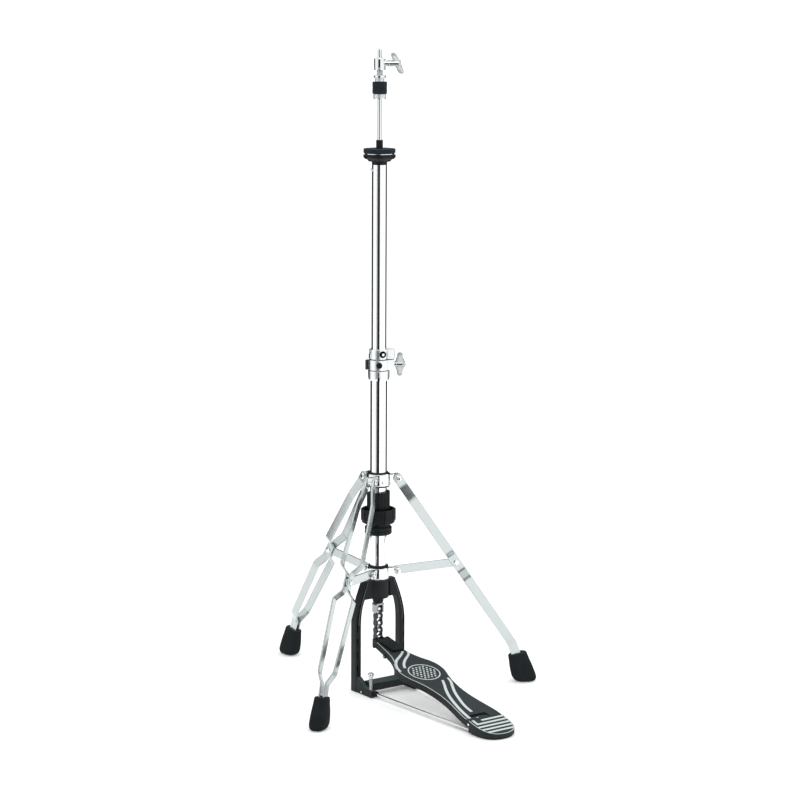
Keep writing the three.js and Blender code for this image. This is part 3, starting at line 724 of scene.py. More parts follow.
# ---- spring tension unit
def tension_unit():
    bore = arc(0, 0, ON_TUBE, 360, 8, 63)
    low, high = span("tension_barrel")
    ribs = slab([toothed(18.7, 19.8, 22, 0.45), bore], low, high)
    slope = box(-40, 40, -40, 40, 0, 12, 0.2)
    slope.transform(Matrix.Translation((0, 0, high - 1.2)) @ Matrix.Rotation(deg(-35.4), 4, "Z")
                    @ Matrix.Rotation(deg(-7.5), 4, "Y"))
    piece("tension_barrel_ribbed", [without(ribs, slope)], PLASTIC, "base", ["tension_barrel"], sharp=28)

    low, high = span("tension_knob")
    grip = slab([toothed(28.4, 30.1, 10, 0.82, 5), arc(0, 0, 24.6, 360, 8, 63)], low + 4, high, 1.2, 3)
    floor_disc = slab([toothed(27.2, 28.6, 10, 0.82, 5), bore], low, low + 9, 1.2, 3)
    inner_wall = ring(ON_TUBE, 20.2, low + 6, high - 6.5, 0.6)
    spokes = []
    for k in range(5):
        spokes += at_angle([box(19, 25.5, -1.2, 1.2, low + 8, high - 4, 0.3)], deg(20 + 72 * k))
    piece("tension_knob_lobed", [grip, floor_disc, inner_wall] + spokes, PLASTIC, "tension_adjuster",
          ["tension_knob"], sharp=28)

    low, high = span("tension_flange")
    outline = [
        (ON_TUBE, low), (21.8, low, 0.6), (23.3, low + 1.6, 0.4), (23.3, 278.4, 0.4), (22.0, 279.2, 0.2),
        (22.0, 279.8, 0.2), (23.3, 280.5, 0.4), (23.3, 284.4, 0.6), (21.6, 286.4, 0.8), (19.5, 287, 0.6),
        (19.5, high, 0.3), (ON_TUBE, high)]
    piece("tension_flange_smooth", [turned(outline, 0.4, 128)], PLASTIC, "base", ["tension_flange"])


tension_unit()


# ---- tripod collars
def pivot_bolt(half_length, head):
    """A headed pivot bolt along Y, a well in one head and a nut on the other end."""
    shank = disc(2.9, -half_length - 0.4, half_length + 0.4, 0.1, 40)
    front = moved(bolt_head(head, 2.9, 1.2), 0, 0, half_length)
    back = moved(spun(bolt_head(head, 2.9, 0.9), pi, "X"), 0, 0, -half_length)
    return [along_y(bm) for bm in (shank, front, back)]


def pivot_well_shades(half_length, reach):
    """Painted shade: near-black rings inside the screwdriver wells, one at each end."""
    solids = []
    for turn in (0, pi):
        well = along_y(ring(0.9, 2.3, half_length + 1.4, half_length + 2.2, 0.15, 32))
        solids.append(moved(spun(well, turn), reach, 0, 0))
    return solids


def ear(start, reach, radius, z, thick, hole=3.35):
    """A plate in the XZ plane that ends round a hole at x = reach."""
    outline = [(start, z - radius)] + arc(reach, z, radius, -90, 90, 24) + [(start, z + radius)]
    return plate_xz([outline, arc(reach, z, hole, 360, 15, 23)], -thick / 2, thick / 2, 0.5)


def plastic_bush(name, body, node, radius, bevel):
    """The plastic sleeve that shows above a collar."""
    low, high = span(node)
    sleeve = turned([
        (ON_TUBE, low), (radius, low), (radius, high - bevel, bevel / 2), (16.6, high, bevel / 2 - 0.2),
        (ON_TUBE, high)], 0.3, 120)
    piece(name, [sleeve], PLASTIC, body, [node])


def pivots(kind, body, half_length, head, reach, z):
    """A collar's three pivot bolts and the near-black rings of painted shade in the wells of their heads.
    """
    wells = []
    for angle in LEG_ANGLES.values():
        wells += at_angle(pivot_well_shades(half_length, reach), angle, z)
    piece(f"{kind}_pivot_well_shades", wells, RECESS_SHADE, body)
    for leg_name, angle in LEG_ANGLES.items():
        bolt = [moved(bm, reach, 0, 0) for bm in pivot_bolt(half_length, head)]
        piece(f"{kind}_pivot_{leg_name}", at_angle(bolt, angle, z), CHROME, body,
              [f"{kind}_bolt_{leg_name}"])


def upper_collar():
    low, high = span("upper_collar")[0] + 2.4, span("upper_collar_bush")[1] - 2.6
    parts = [turned([
        (ON_TUBE, low), (19.4, low, 0.8), (20.5, low + 1.4, 0.8), (20.5, high - 1.6, 0.8),
        (19.6, high, 0.8), (ON_TUBE, high)], 0.4, 120)]
    for angle in LEG_ANGLES.values():
        parts += at_angle([ear(16.5, LEG_RADIUS, 7.0, 0, 9)], angle, LEG_Z)
    piece("upper_collar_smooth", parts, CHROME, "leg_collar", ["upper_collar"])
    key = along_x(turned([(0, 20.0), (3.2, 20.0), (3.2, 22.6, 0.6), (0, 22.6)], 0.2, 6))
    boss = pin(4.2, 18.5, 21.2, 0.6, 40)
    piece("collar_key_bolt", at_angle([key, boss], deg(-98), 364.5), CHROME, "leg_collar")
    plastic_bush("upper_bush", "leg_collar", "upper_collar_bush", 17.6, 1.6)
    lip = ring(ON_TUBE, 19.3, low - 1.7, low - 0.1, 0.4, 120)
    piece("upper_bush_lip", [lip], PLASTIC, "leg_collar")
    pivots("leg", "leg_collar", 8.2, 6.0, LEG_RADIUS, LEG_Z)


def lower_collar():
    low, high = 194, span("lower_collar")[1]
    parts = [turned([
        (ON_TUBE, low), (18.0, low, 0.8), (18.7, low + 1.2, 0.6), (18.7, high - 1.2, 0.6),
        (18.0, high, 0.8), (ON_TUBE, high)], 0.4, 120)]
    for angle in LEG_ANGLES.values():
        for side in (3.2, -3.2):
            cheek = moved(ear(15.5, BRACE_RADIUS, 7.4, 0, 2.6), 0, side, 0)
            parts += at_angle([cheek], angle, BRACE_Z - 2.5)
    piece("lower_collar_smooth", parts, CHROME, "tripod", ["lower_collar"])
    plastic_bush("lower_bush", "tripod", "lower_collar_bush", 17.5, 1.4)
    pivots("brace", "tripod", 4.8, 5.0, BRACE_RADIUS, BRACE_Z)


upper_collar()
lower_collar()


# ---- legs and braces
# Along a leg: distance from the top pivot, and how far the strip's middle stands off.
STRIP_BOW = (
    (-8, 6.4), (14, 6.4, 4), (43, 13, 4), (153, 18, 4), (168, 3.6, 4), (199, 3.6, 4), (214, 17.5, 4),
    (343, 13.5, 5), (KNEE, 4, 5), (KNEE + 34, 4))


def onto_leg(bm):
    """Takes leg-plane solids (X down the leg, Y across, Z outward) to the stand's XZ plane."""
    bend = LEG_TILT - FOOT_TILT
    for v in bm.verts:
        past = v.co.x - KNEE
        if past > 0:
            v.co.x = KNEE + past * cos(bend) + v.co.z * sin(bend)
            v.co.z = v.co.z * cos(bend) - past * sin(bend)
    c, s = cos(LEG_TILT), sin(LEG_TILT)
    bm.transform(Matrix(((s, 0, c, LEG_RADIUS), (0, 1, 0, 0), (-c, 0, s, LEG_Z), (0, 0, 0, 1))))
    return bm


def resampled(line, step):
    """The same line with points no further apart than step."""
    made = [line[0]]
    for a, b in zip(line, line[1:]):
        parts = max(1, ceil(dist(a, b) / step))
        made += [tuple(Vector(a).lerp(Vector(b), k / parts)) for k in range(1, parts + 1)]
    return made


def strip(side):
    """One of a leg's two bent strips, with a round top end."""
    bow = resampled(eased(STRIP_BOW, closed=False, steps=8), 4)
    line = [(s, STRIP_BOW[0][1]) for s in (-7.9, -7.4, -6.6, -5.4, -3.8, -2)]
    line += [p for p in bow if p[0] > -1]
    half_t = STRIP_THICK / 2
    rings = []
    for (s, offset), ahead in headings(line):
        wide = sqrt(max((STRIP_WIDTH / 2) ** 2 - min(s, 0) ** 2, 0.3))
        corners = [(half_t, wide), (-half_t, wide), (-half_t, -wide), (half_t, -wide)]
        outline = eased(corners, min(0.9, wide * 0.4))
        rings.append([(s - ahead.y * t, side * (offset + ahead.x * t), w) for t, w in outline])
    return onto_leg(loft(rings))


BOOT_LEVELS = (
    (0.3, 10), (0.9, 14.5), (3.0, 18.6), (7.5, 21.0), (12, 21.45), (20, 21.0), (29, 19.8), (39, 17.9),
    (46.5, 16.7), (49, 16.2), (50.4, 15.4), (51.0, 14.2))
BOOT_RIBS, BOOT_TREADS, BOOT_ASPECT = 26, 20, 0.70


def boot():
    """A rubber foot: wide along the leg, ribbed sides, leaning with the strips."""
    centre = LEG_RADIUS + KNEE * sin(LEG_TILT) + (LEG_Z - KNEE * cos(LEG_TILT)) * tan(FOOT_TILT)
    angles = [TURN * k / 180 for k in range(180)]
    squareness = 2 / 2.5
    rings = []
    for z, reach in smooth_line(BOOT_LEVELS, 4):
        slant = tan(deg(14)) * (max(0.0, z - 12) / 43) ** 2
        rib_here = min(1, max(0, z - 13) / 3) * min(1, max(0, 47 - z) / 2)
        tread_here = min(1, max(0, 11 - z) / 3)
        points = []
        for a in angles:
            rib = 0.8 * (0.5 + 0.5 * cos(BOOT_RIBS * a)) * rib_here
            tread = 1.5 * max(0.0, cos(BOOT_TREADS * a)) ** 0.6 * tread_here
            size = reach * (1 - (rib + tread) / max(reach, 1))
            across = copysign(abs(cos(a)) ** squareness, cos(a)) * size
            y = copysign(abs(sin(a)) ** squareness, sin(a)) * size * BOOT_ASPECT
            points.append((centre - z * tan(BOOT_LEAN) + across, y, z + across * slant))
        rings.append(points)
    return loft(rings)


def leg(name):
    angle, body = LEG_ANGLES[name], f"leg_{name}"
    rivets = []
    for turn, y in ((0, 5.0), (pi, -5.0)):
        rivets.append(onto_leg(moved(spun(along_y(bolt_head(5.2, 1.9)), turn), MID_PIVOT, y)))
    for suffix, side in (("a", 1), ("b", -1)):
        piece(f"strip_{name}_{suffix}", at_angle([strip(side)], angle), LEG_STEEL, body,
              [f"leg_strip_{name}_{suffix}"], sharp=40)
    piece(f"leg_rivets_{name}", at_angle(rivets, angle), CHROME, body)
    piece(f"boot_{name}_ribbed", at_angle([boot()], angle), RUBBER, body, [f"boot_{name}"], sharp=60)
    tab = onto_leg(box(KNEE + 22, KNEE + 31.5, -2.0, 2.0, -6.5, 6.5, 0.3))
    piece(f"boot_bolt_{name}", at_angle([tab], angle), CHROME, body)


def brace(name):
    reach = LEG_RADIUS + MID_PIVOT * sin(LEG_TILT) - BRACE_RADIUS
    rise = LEG_Z - MID_PIVOT * cos(LEG_TILT) - BRACE_Z
    length = hypot(reach, rise)
    outline = arc(0, 0, 7.6, 90, 270, 20) + arc(length, 0, 7.6, -90, 90, 20)
    flat = plate_xz([outline, arc(0, 0, 3.35, 360, 15, 23)], -1.5, 1.5, 0.7)
    spun(flat, -atan2(rise, reach), "Y")
    moved(flat, BRACE_RADIUS, 0, BRACE_Z)
    piece(f"brace_{name}_plate", at_angle([flat], LEG_ANGLES[name]), LEG_STEEL, f"brace_{name}",
          [f"brace_{name}"])


for leg_name in LEGS:
    leg(leg_name)
    brace(leg_name)


# ---- yoke, feet and base bar
OUTER, INNER = 51.0, 41.0
BRIDGE_TOP, BRIDGE_BOTTOM, BOSS_BOTTOM = 192.7, 161.0, 150.5
FOOT_FRONT, RIM_WIDTH = -53.0, 4.6


def yoke_side(inset=0.0, steps=16):
    """The outer edge of the yoke's right half, from the floor to the bridge top."""
    curve = bezier((OUTER - inset, 118), (OUTER - inset - 0.6, 140), (OUTER - inset - 8, 162),
                   (30 - inset * 0.6, BRIDGE_TOP - inset * 0.4), steps)
    return [(OUTER - inset, 0.2)] + curve


def mirrored_x(points):
    return [(-x, y) for x, y in points]


def yoke():
    window = bezier((INNER, 112), (INNER, 132), (39, 148), (33, BRIDGE_BOTTOM), 10)
    right, inner = yoke_side(), [(INNER, 0.2)] + window
    outline = right + mirrored_x(right)[::-1] + mirrored_x(inner) + inner[::-1]
    parts = [plate_xz([outline], -6.6, 8.5, 1.3, 3)]
    for side in (1, -1):
        rim = [(side * x, z) for x, z in right + yoke_side(RIM_WIDTH)[::-1]]
        parts += [plate_xz([rim], low, low + 3.5, 0.9, 3) for low in (5.0, -8.5)]
    parts.append(turned([
        (ON_TUBE, 166), (17.5, BRIDGE_BOTTOM - 1, 1), (19.0, BRIDGE_BOTTOM + 3, 3),
        (19.2, BRIDGE_TOP - 2, 1.2), (18.2, BRIDGE_TOP, 1), (ON_TUBE, BRIDGE_TOP)], 0.5))
    parts.append(turned([
        (4.4, BOSS_BOTTOM), (8.2, BOSS_BOTTOM, 0.8), (9.2, BOSS_BOTTOM + 2, 1), (10.5, BRIDGE_BOTTOM, 3),
        (17, BRIDGE_BOTTOM + 1), (17, 165.8), (4.4, 165.8)], 0.5, 64))
    foot = eased([
        (8.4, 0.2), (8.4, 27, 1), (-8.4, 27, 2), (-31, 14.5, 3), (FOOT_FRONT, 12.5, 3),
        (FOOT_FRONT, 3, 2), (FOOT_FRONT + 2, 0.2, 1)], 1.0, 4)
    for x0, x1 in ((0.2 - OUTER, -40.5), (40.5, OUTER - 0.2)):
        parts.append(plate_yz([foot], x0, x1, 1.2, 3))
    bar = eased([(-19, 9), (-19, 21.5), (-21, 23), (-41, 22), (-43, 20), (-43, 9)], 1.2)
    parts += [
        plate_yz([bar], -42, 42, 0.6), box(-38, 38, -20.5, -18.8, 10.5, 20, 0.5),
        box(-38, 38, -43.2, -41.5, 10.5, 18, 0.5)]
    piece("yoke_casting", parts, CAST, "base", ["frame_casting"], sharp=38)


def yoke_details():
    """Lighter ridges on the rims' heel side, partly wear and partly a painted highlight line; the socket's
    slit and bolt, with the slit and the bolt's well as near-black painted shade; and the feet's plugs.
    """
    ridges = []
    # Painted highlight: the ridges take the lighter cast colour.
    for side in (1, -1):
        ridges.append(wire([(side * x, -8.7, z) for x, z in yoke_side(RIM_WIDTH) if z > 100], 0.55, 12))
    piece("yoke_highlight_ridges", ridges, RIDGE_WEAR_AND_HIGHLIGHT, "base")
    # Painted shade: the slit and the bolt's well as near-black pieces.
    slit = box(12.6, 14.0, -16.2, -15.0, 164, 190, 0.3)
    well = moved(spun(along_y(disc(2.3, 6.2, 7.2, 0.2, 32)), pi), 24, 0, 177)
    piece("yoke_slit_and_well_shade", [slit, well], RECESS_SHADE, "base")
    head = moved(spun(along_y(bolt_head(3.4, 1.8, 1.0)), pi), 24.5, -6.4, 176.5)
    piece("yoke_clamp_bolt", [head], CAST, "base")
    plugs = [spun(pin(1.7, 50.4, 51.0, 0.1, 32), turn) for turn in (0, pi)]
    piece("foot_plugs", [moved(bm, 0, -22, 3.8) for bm in plugs], CHROME, "base")


yoke()
yoke_details()


def spur(side, name):
    shank = turned([(0, 0.6), (0.8, 0.9), (3, 4.5), (3, 34), (0, 34)], 0.2, 48)
    head = turned([
        (0, 33.4), (3.4, 33.4, 0.4), (4.0, 36.4, 1), (5.8, 37.6, 0.6), (5.6, 40.4, 1.4),
        (3.4, 42.8, 1.2), (0, 43.0)], 0.3, 64)
    body = f"spur_{name}"
    x, y = side * 45.7, -44
    piece(f"spur_thread_{name}", [moved(shank, x, y)], THREAD, body, [f"spur_screw_{name}"])
    piece(f"spur_head_{name}", [moved(head, x, y)], CHROME, body)


spur(-1, "left")
spur(1, "right")


ROD_Z = 7.5


def radius_rods():
    for side, name in ((-1, "left"), (1, "right")):
        toe = Vector((side * 43, FOOT_FRONT + 3, ROD_Z))
        heel = Vector((side * 31, HINGE_Y - 10, ROD_Z))
        piece(f"radius_rod_{name}_round", [wire([toe.lerp(heel, k / 12) for k in range(13)], 2.2, 32)],
              CHROME, "base", [f"radius_rod_{name}"])
        boss = along_y(turned([(2.35, -5), (4.6, -5, 1.2), (5.0, 1), (2.35, 1)], 0.3, 48))
        piece(f"rod_bush_{name}", [moved(boss, side * 42.8, FOOT_FRONT - 0.4, ROD_Z)], RUBBER, "base")


radius_rods()


# ---- clevis and chain
def clevis():
    cheek = eased([(-6.5, 132.6, 3.2), (6.5, 132.6, 3.2), (6.5, 150.0, 0.8), (-6.5, 150.0, 0.8)], 0.8, 6)
    parts = [plate_yz([cheek], x0, x1, 0.5, 3) for x0, x1 in ((-8, -5.4), (5.4, 8))]
    parts.append(box(-8, 8, -6.5, 6.5, 146.6, 150.1, 0.8))
    cross_pin = pin(1.8, -7.6, 7.6, 0.3, 32)
    parts.append(moved(cross_pin, 0, 0, CHAIN_PIN_Z))
    piece("clevis_smooth", parts, DULL_STEEL, "rod", ["chain_clevis"])


def link_outline(waist=3.3, lobe=5.6):
    """A link plate in (y, z): two round ends and a slight waist."""
    pitch = CHAIN_PITCH
    right = bezier((lobe * 0.95, 2.0), (waist + 0.6, 4.2), (waist + 0.6, pitch - 4.2),
                   (lobe * 0.95, pitch - 2.0), 8)
    low = arc(0, 0, lobe, 157, 383, 18)
    high = arc(0, pitch, lobe, -23, 203, 18)
    return low + right[1:-1] + high + [(-y, z) for y, z in right[1:-1]][::-1]


def chain():
    plates, pins, rollers = [], [], []
    for i in range(CHAIN_LINKS):
        z = CHAIN_PIN_Z - (i + 1) * CHAIN_PITCH
        outer = i % 2 == 1
        x = 6.0 if outer else 4.2
        for side in (1, -1):
            plate = plate_yz([link_outline()], side * x - 0.8, side * x + 0.8, 0.35)
            plates.append(moved(plate, 0, 0, z))
        for pivot in (z, z + CHAIN_PITCH):
            if outer:
                pins.append(moved(pin(1.8, -7.0, 7.0, 0.4, 24), 0, 0, pivot))
            else:
                rollers.append(moved(along_x(ring(2.2, 3.9, -3.3, 3.3, 0.8, 40)), 0, 0, pivot))
    nodes = [f"chain_link_{i + 1}" for i in range(CHAIN_LINKS)]
    piece("chain_plates", plates + pins, DARK_STEEL, "chain", nodes)
    piece("chain_rollers", rollers, CHROME, "chain")


clevis()
chain()


# ---- footboard
# Half-widths of the tread at distances from the hinge.
BOARD_EDGE = (
    (0, 34.5), (16, 34), (40, 30.5), (66, 26.7), (90, 25.3), (110, 26.5), (132, 30), (150, 35.5),
    (168, 40.8), (188, 41.5), (204, 37), (220, 28.5), (238, 21.5), (258, 17.8), (280, 15), (292, 13.5))


def width_at(edge, place):
    """The half-width of an edge, given as (place, half-width) points, at a place along it."""
    for (p0, w0), (p1, w1) in zip(edge, edge[1:]):
        if min(p0, p1) <= place <= max(p0, p1):
            return w0 + (w1 - w0) * (place - p0) / ((p1 - p0) or 1)
    return edge[-1][1]


def board_half(s):
    return width_at(smooth_line(BOARD_EDGE, 8), s)


def board_outline(inset, start, end):
    side = [(half - inset, s) for s, half in smooth_line(BOARD_EDGE, 5) if start + 1 < s < end - 7]
    right = [(board_half(start) - inset, start)] + side + [
        (p[0] - inset, p[1]) for p in arc(8.5, end - 5, 5, 0, 90, 6)]
    return right + mirrored_x(right)[::-1]


def on_slope(bm):
    """Tilts something drawn flat, hinge gap at y = 0, to lie on the sloping pedal."""
    return moved(spun(bm, PEDAL_SLOPE, "X"), 0, HINGE_Y, BOARD_TOP)


def on_hinge(bm):
    return moved(bm, 0, HINGE_Y, HINGE_Z)


def footboard():
    shell = slab([board_outline(0, 0.6, BOARD_LENGTH)], -BOARD_SKIRT, 0, 0.9, 3)
    hollow = slab([board_outline(3.2, 12, BOARD_LENGTH - 40)], -BOARD_SKIRT - 5, -4, 0.8)
    notch = slab([eased([(-8, 283), (8, 283), (8, 310), (-8, 310)], 1.5)], -30, 10, 0.3)
    recess = eased([(-21, -5), (12.8, -5), (12.8, 12, 3), (9.5, 16.6, 2), (-21, 16.6, 1)])
    tongue = slab([recess], -30, 10, 0.3)
    body = without(shell, hollow, notch, tongue)
    knuckle = on_hinge(along_x(ring(2.6, 4.2, -17.5, 12, 0.4, 48)))
    arm = on_slope(box(-17, 12, 17, 24, -9, -2, 0.6))
    web = on_slope(box(-16, 11, 2.5, 19, -9.6, -6.2, 0.6))
    piece("footboard_shell", [on_slope(body), knuckle, arm, web], BOARD, "pedal", ["footboard"], sharp=38)
    lug = pin(3.6, -19.5, -13, 0.8, 40)
    piece("board_lug", [on_slope(moved(lug, 0, 262, -BOARD_SKIRT + 1.2))], BOARD, "pedal")
    tip = pin(1.6, -20.0, -18.8, 0.4, 32)
    piece("board_lug_pin", [on_slope(moved(tip, 0, 262, -BOARD_SKIRT + 1.2))], CHROME, "pedal")


PATCH_S, PATCH_RADIUS = 172.0, 27.0
DOT_PITCH, DOT_RADIUS = 7.0, 1.9
PRINT_PROUD = 0.16


def grip_dots():
    """Round dots on an even triangular grid that fill the ring."""
    dots = []
    reach = int(PATCH_RADIUS / DOT_PITCH) + 2
    for row in range(-reach, reach + 1):
        for column in range(-reach, reach + 1):
            x = (column + 0.5 * (row % 2)) * DOT_PITCH
            s = row * DOT_PITCH * sqrt(0.75)
            if hypot(x, s) < PATCH_RADIUS - 4:
                dots.append(arc(x, PATCH_S + s, DOT_RADIUS, 0, 337.5, 15))
    return dots


# Each stripe's width at its start, middle and end, then its route as (x, distance from the hinge).
STRIPES = (
    ((3.0, 5.4, 5.0), (16.6, 268), (13.4, 255), (5.6, 245), (-7.3, 234.6), (-19.8, 225.3),
     (-29.3, 213.8), (-35.6, 201), (-38.2, 188)),
    ((3.4, 5.2, 4.6), (18.6, 247), (14.6, 238), (4.3, 229), (-6, 220.2), (-16.1, 208.8), (-22.9, 196.3)),
    ((4.2, 5.8, 5.4), (12.6, 136), (5.6, 121.2), (-3, 104.9), (-11.6, 84.1), (-18.8, 58.1),
     (-23.6, 33.9), (-26.4, 7)),
    ((4.0, 5.6, 5.2), (26.5, 140), (23.2, 127), (15.8, 112.4), (6, 91.8), (-3.0, 64.3), (-7.6, 44.4),
     (-8.9, 25)))


def board_print():
    """Silver print on the tread: the stripes, a plain ring of grip dots and a keyline on each edge."""
    left_edge = [(1.1 - board_half(s), s) for s in range(6, 300, 6)]
    right_edge = [(board_half(s) - 1.1, s) for s in range(142, 292, 6)]
    shapes = [
        ribbon(left_edge, 1.1), ribbon(right_edge, 0.9),
        ribbon(arc(0, PATCH_S, PATCH_RADIUS, 0, 359, 72), 2.0)]
    shapes += [ribbon(smooth_line(route), widths) for widths, *route in STRIPES]
    solids = [on_slope(slab([outline], -0.3, PRINT_PROUD, 0.06, 1)) for outline in shapes + grip_dots()]
    piece("board_print", solids, SILVER, "pedal")


def chain_anchor():
    saddle = eased([(-9.5, 252), (13.2, 250), (13.2, 299), (-9.5, 299)], 0.8)
    cheek = eased([
        (-24, 79), (-24, 84), (-8, 87.6), (0.6, 87.6), (0.6, 72.4), (-4, 71), (-6.2, 74),
        (-9.5, 81)], 0.9, 4)
    lugs = [plate_yz([cheek], x, x + 4.2, 0.7) for x in (7.3, -11.5)]
    gap = box(-7.2, 7.2, -16, 20, 60, 110, 0.1)
    cross_pin = moved(pin(1.8, -10, 10, 0.3, 32), 0, 0, CHAIN_PIN_Z - CHAIN_LINKS * CHAIN_PITCH)
    block = without(on_slope(slab([saddle], 0.2, 6.2, 0.7, 3)), gap)
    piece("anchor_block", [block] + lugs + [cross_pin], PLASTIC, "pedal", ["chain_anchor"], sharp=38)
    heads = [on_slope(moved(bolt_head(2.6, 1.5, 0.8), 1.5, s, 6.1)) for s in (259.5, 273.5)]
    piece("anchor_bolts", heads, DARK_STEEL, "pedal")


footboard()
board_print()
chain_anchor()


# ---- heel plate
HEEL_HALF, HEEL_STRAIGHT = 34.5, -316.0
HEEL_PAD = 3.0
HEEL_DROP = (BOARD_TOP - 9.5) / (HINGE_Y - HEEL_END)


def heel_side(inset=0.0, steps=24):
    """The heel's right edge, from the hinge round to the tip."""
    curve = bezier((HEEL_HALF - inset, HEEL_STRAIGHT), (HEEL_HALF - inset, HEEL_END + 14 + inset),
                   (24, HEEL_END + inset), (0, HEEL_END + inset), steps)
    return [(HEEL_HALF - inset, HINGE_Y - 0.6)] + curve


def heel_half(y):
    """How far the print reaches to the side at y."""
    return width_at([(along, half) for half, along in heel_side(2.2)], y)


def heel_outline(inset=0.0):
    right = heel_side(inset)
    return right + mirrored_x(right[:-1])[::-1]


def heel_top(y):
    return BOARD_TOP - HEEL_DROP * (HINGE_Y - y)


def on_heel(bm):
    """Lays something drawn flat on the heel plate: on its slope, and level on its tongue."""
    for v in bm.verts:
        v.co.z += BOARD_TOP if v.co.y > HINGE_Y - 2 else heel_top(v.co.y)
    return bm


def heel_plate():
    block = slab([heel_outline()], HEEL_PAD, 40, 0.3, 2)
    above = [(-290, heel_top(-290)), (-370, heel_top(-370)), (-370, 60), (-290, 60)]
    blade = plate_yz([above], -50, 50, 0.05)
    knuckles = [on_hinge(along_x(ring(2.6, 4.2, a, b, 0.4, 48))) for a, b in ((-34, -21.6), (13.4, 34))]
    tongue = slab([eased([
        (-20.4, HINGE_Y - 2), (12.2, HINGE_Y - 2), (12.2, HINGE_Y + 11.4, 3), (9.0, HINGE_Y + 15.2, 2),
        (-20.4, HINGE_Y + 15.2, 1)], 0.5)], BOARD_TOP - 1.8, BOARD_TOP, 0.3)
    slot = box(-18, 12.4, HINGE_Y - 5, HINGE_Y + 2, 5, BOARD_TOP - 1.7, 0.3)
    body = without(block, blade, slot)
    piece("heel_casting", [body, tongue] + knuckles, BOARD, "base", ["heel_plate"], sharp=38)


def heel_print():
    shapes = [ribbon(heel_outline(1.4), 1.2)]
    starts = {0: -11.4, 1: -28.6}
    for k in range(5):
        low, high = -310.1 - 9.3 * k, -305.9 - 9.3 * k
        near, reach = heel_half(high), min(heel_half(low), heel_half(high))
        shapes.append([
            (starts.get(k, -reach), low), (reach, low), (near, high), (starts.get(k, -near), high)])
    shapes.append([(-11.4, -308), (-7.0, -308), (-7.0, HINGE_Y + 9), (-11.4, HINGE_Y + 9)])
    shapes.append([(-28.6, -318), (-24.2, -318), (-24.2, HINGE_Y - 1.2), (-28.6, HINGE_Y - 1.2)])
    solids = [on_heel(slab([outline], -0.25, PRINT_PROUD, 0.06, 1)) for outline in shapes]
    piece("heel_print", solids, SILVER, "base")


def heel_pad():
    inset = [(x * 0.9, (y - HINGE_Y) * 0.9 + HINGE_Y - 3) for x, y in heel_outline()]
    piece("heel_rubber", [slab([inset], 0.0, HEEL_PAD - 0.3, 0.8, 3)], RUBBER, "base", ["heel_pad"])


def hinge_pin():
    cross_pin = along_x(turned([(0, -34.8), (2.2, -34.8, 0.7), (2.2, 34.8, 0.7), (0, 34.8)], 0.3, 40))
    piece("hinge_pin_round", [on_hinge(cross_pin)], CHROME, "base", ["hinge_pin"])


heel_plate()
heel_print()
heel_pad()
hinge_pin()


# ---- floor, light and camera
FLOOR_REACH, FLAG_HEIGHT = 160.0, 1.13


def studio():
    mesh = bpy.data.meshes.new("floor")
    corners = [(x * FLOOR_REACH, y * FLOOR_REACH, 0) for x, y in ((-1, -1), (1, -1), (1, 1), (-1, 1))]
    mesh.from_pydata(corners, [], [(0, 1, 2, 3)])
    n = Nodes("floor")
    mesh.materials.append(n.done("floor", {
        "Base Color": n.blend(n.noise(2, 2), (0.93,) * 3, (0.95,) * 3), "Roughness": 0.9,
        "Emission Color": (1, 1, 1), "Emission Strength": 0.14}))
    floor = placed("floor", mesh)
    floor.location.z = -0.3 * MM


def dark_flag(name, start, end, distance, shade):
    """An upright card that only the polished metal sees, between two bearings from the camera."""
    columns = []
    for k in range(9):
        a = TOWARDS_CAMERA + deg(start + (end - start) * k / 8)
        columns.append((AXIS.x + distance * cos(a), AXIS.y + distance * sin(a)))
    mesh = bpy.data.meshes.new(name)
    mesh.from_pydata([(x, y, z) for x, y in columns for z in (0.0, FLAG_HEIGHT)], [],
                     [(2 * k, 2 * k + 2, 2 * k + 3, 2 * k + 1) for k in range(8)])
    n = Nodes(name)
    mesh.materials.append(n.done(name, {
        "Base Color": n.blend(n.noise(3, 2), (shade * 0.9,) * 3, (shade,) * 3), "Roughness": 0.95,
        "Specular IOR Level": 0}))
    card = placed(name, mesh)
    for ray in ("camera", "diffuse", "transmission", "volume_scatter", "shadow"):
        setattr(card, f"visible_{ray}", False)


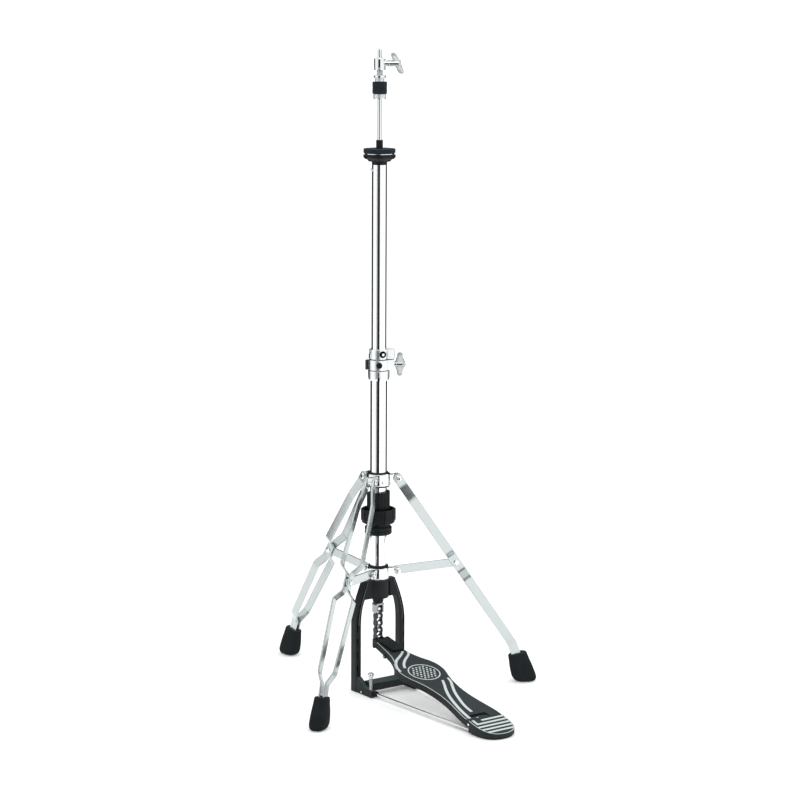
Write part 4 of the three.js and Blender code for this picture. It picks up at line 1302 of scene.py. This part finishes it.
def sky():
    """Even white surroundings; the dark flags give the chrome its lines."""
    world = bpy.data.worlds.new("studio")
    world.use_nodes = True
    bpy.context.scene.world = world
    background = world.node_tree.nodes["Background"]
    background.inputs["Strength"].default_value = 1.1
    background.inputs["Color"].default_value = (0.985, 0.995, 1.0, 1)


def soft_light(name, spot, size, power):
    """A round lamp aimed at the middle of the stand's legs."""
    data = bpy.data.lights.new(name, "AREA")
    data.shape = "DISK"
    data.size = size
    data.energy = power
    light = placed(name, data)
    light.location = spot
    light.rotation_euler = (Vector((0, 0, 0.4)) - Vector(spot)).to_track_quat("-Z", "Y").to_euler()


CAMERA_AZIMUTH, CAMERA_DISTANCE, CAMERA_HEIGHT = deg(-35.399), 4.068461, 1.225336
CAMERA_YAW, CAMERA_PITCH, CAMERA_ROLL = deg(0.51), deg(10.04), deg(0.276)
HEADING = CAMERA_AZIMUTH - CAMERA_YAW
TOWARDS_CAMERA = HEADING - deg(90)


def camera():
    """A long lens a little above the stand, off to the drummer's left, tilted down at its middle."""
    data = bpy.data.cameras.new("camera")
    data.lens = 109.39
    data.sensor_width = 36
    data.clip_end = 100
    made = placed("camera", data)
    behind = Vector((sin(CAMERA_AZIMUTH), -cos(CAMERA_AZIMUTH), 0)) * CAMERA_DISTANCE
    spot = AXIS + behind + Vector((0, 0, CAMERA_HEIGHT))
    made.matrix_world = (
        Matrix.Translation(spot) @ Matrix.Rotation(HEADING, 4, "Z")
        @ Matrix.Rotation(deg(90) - CAMERA_PITCH, 4, "X") @ Matrix.Rotation(CAMERA_ROLL, 4, "Z"))
    bpy.context.scene.camera = made


camera()
studio()
for flag, start, end, distance, shade in (
        ("flag_lens", -17, 11, 0.72, 0.015), ("flag_side_a", -25, -17, 0.72, 0.12),
        ("flag_side_b", -33, -25, 0.72, 0.35), ("flag_side_c", -43, -33, 0.72, 0.65),
        ("flag_back", 112, 257, 1.15, 0.02)):
    dark_flag(flag, start, end, distance, shade)
sky()
soft_light("key", (-2.2, -2.6, 3.4), 2.2, 42)
soft_light("fill", (3.0, -0.8, 2.4), 2.4, 25)
bpy.context.scene.view_settings.view_transform = "Standard"
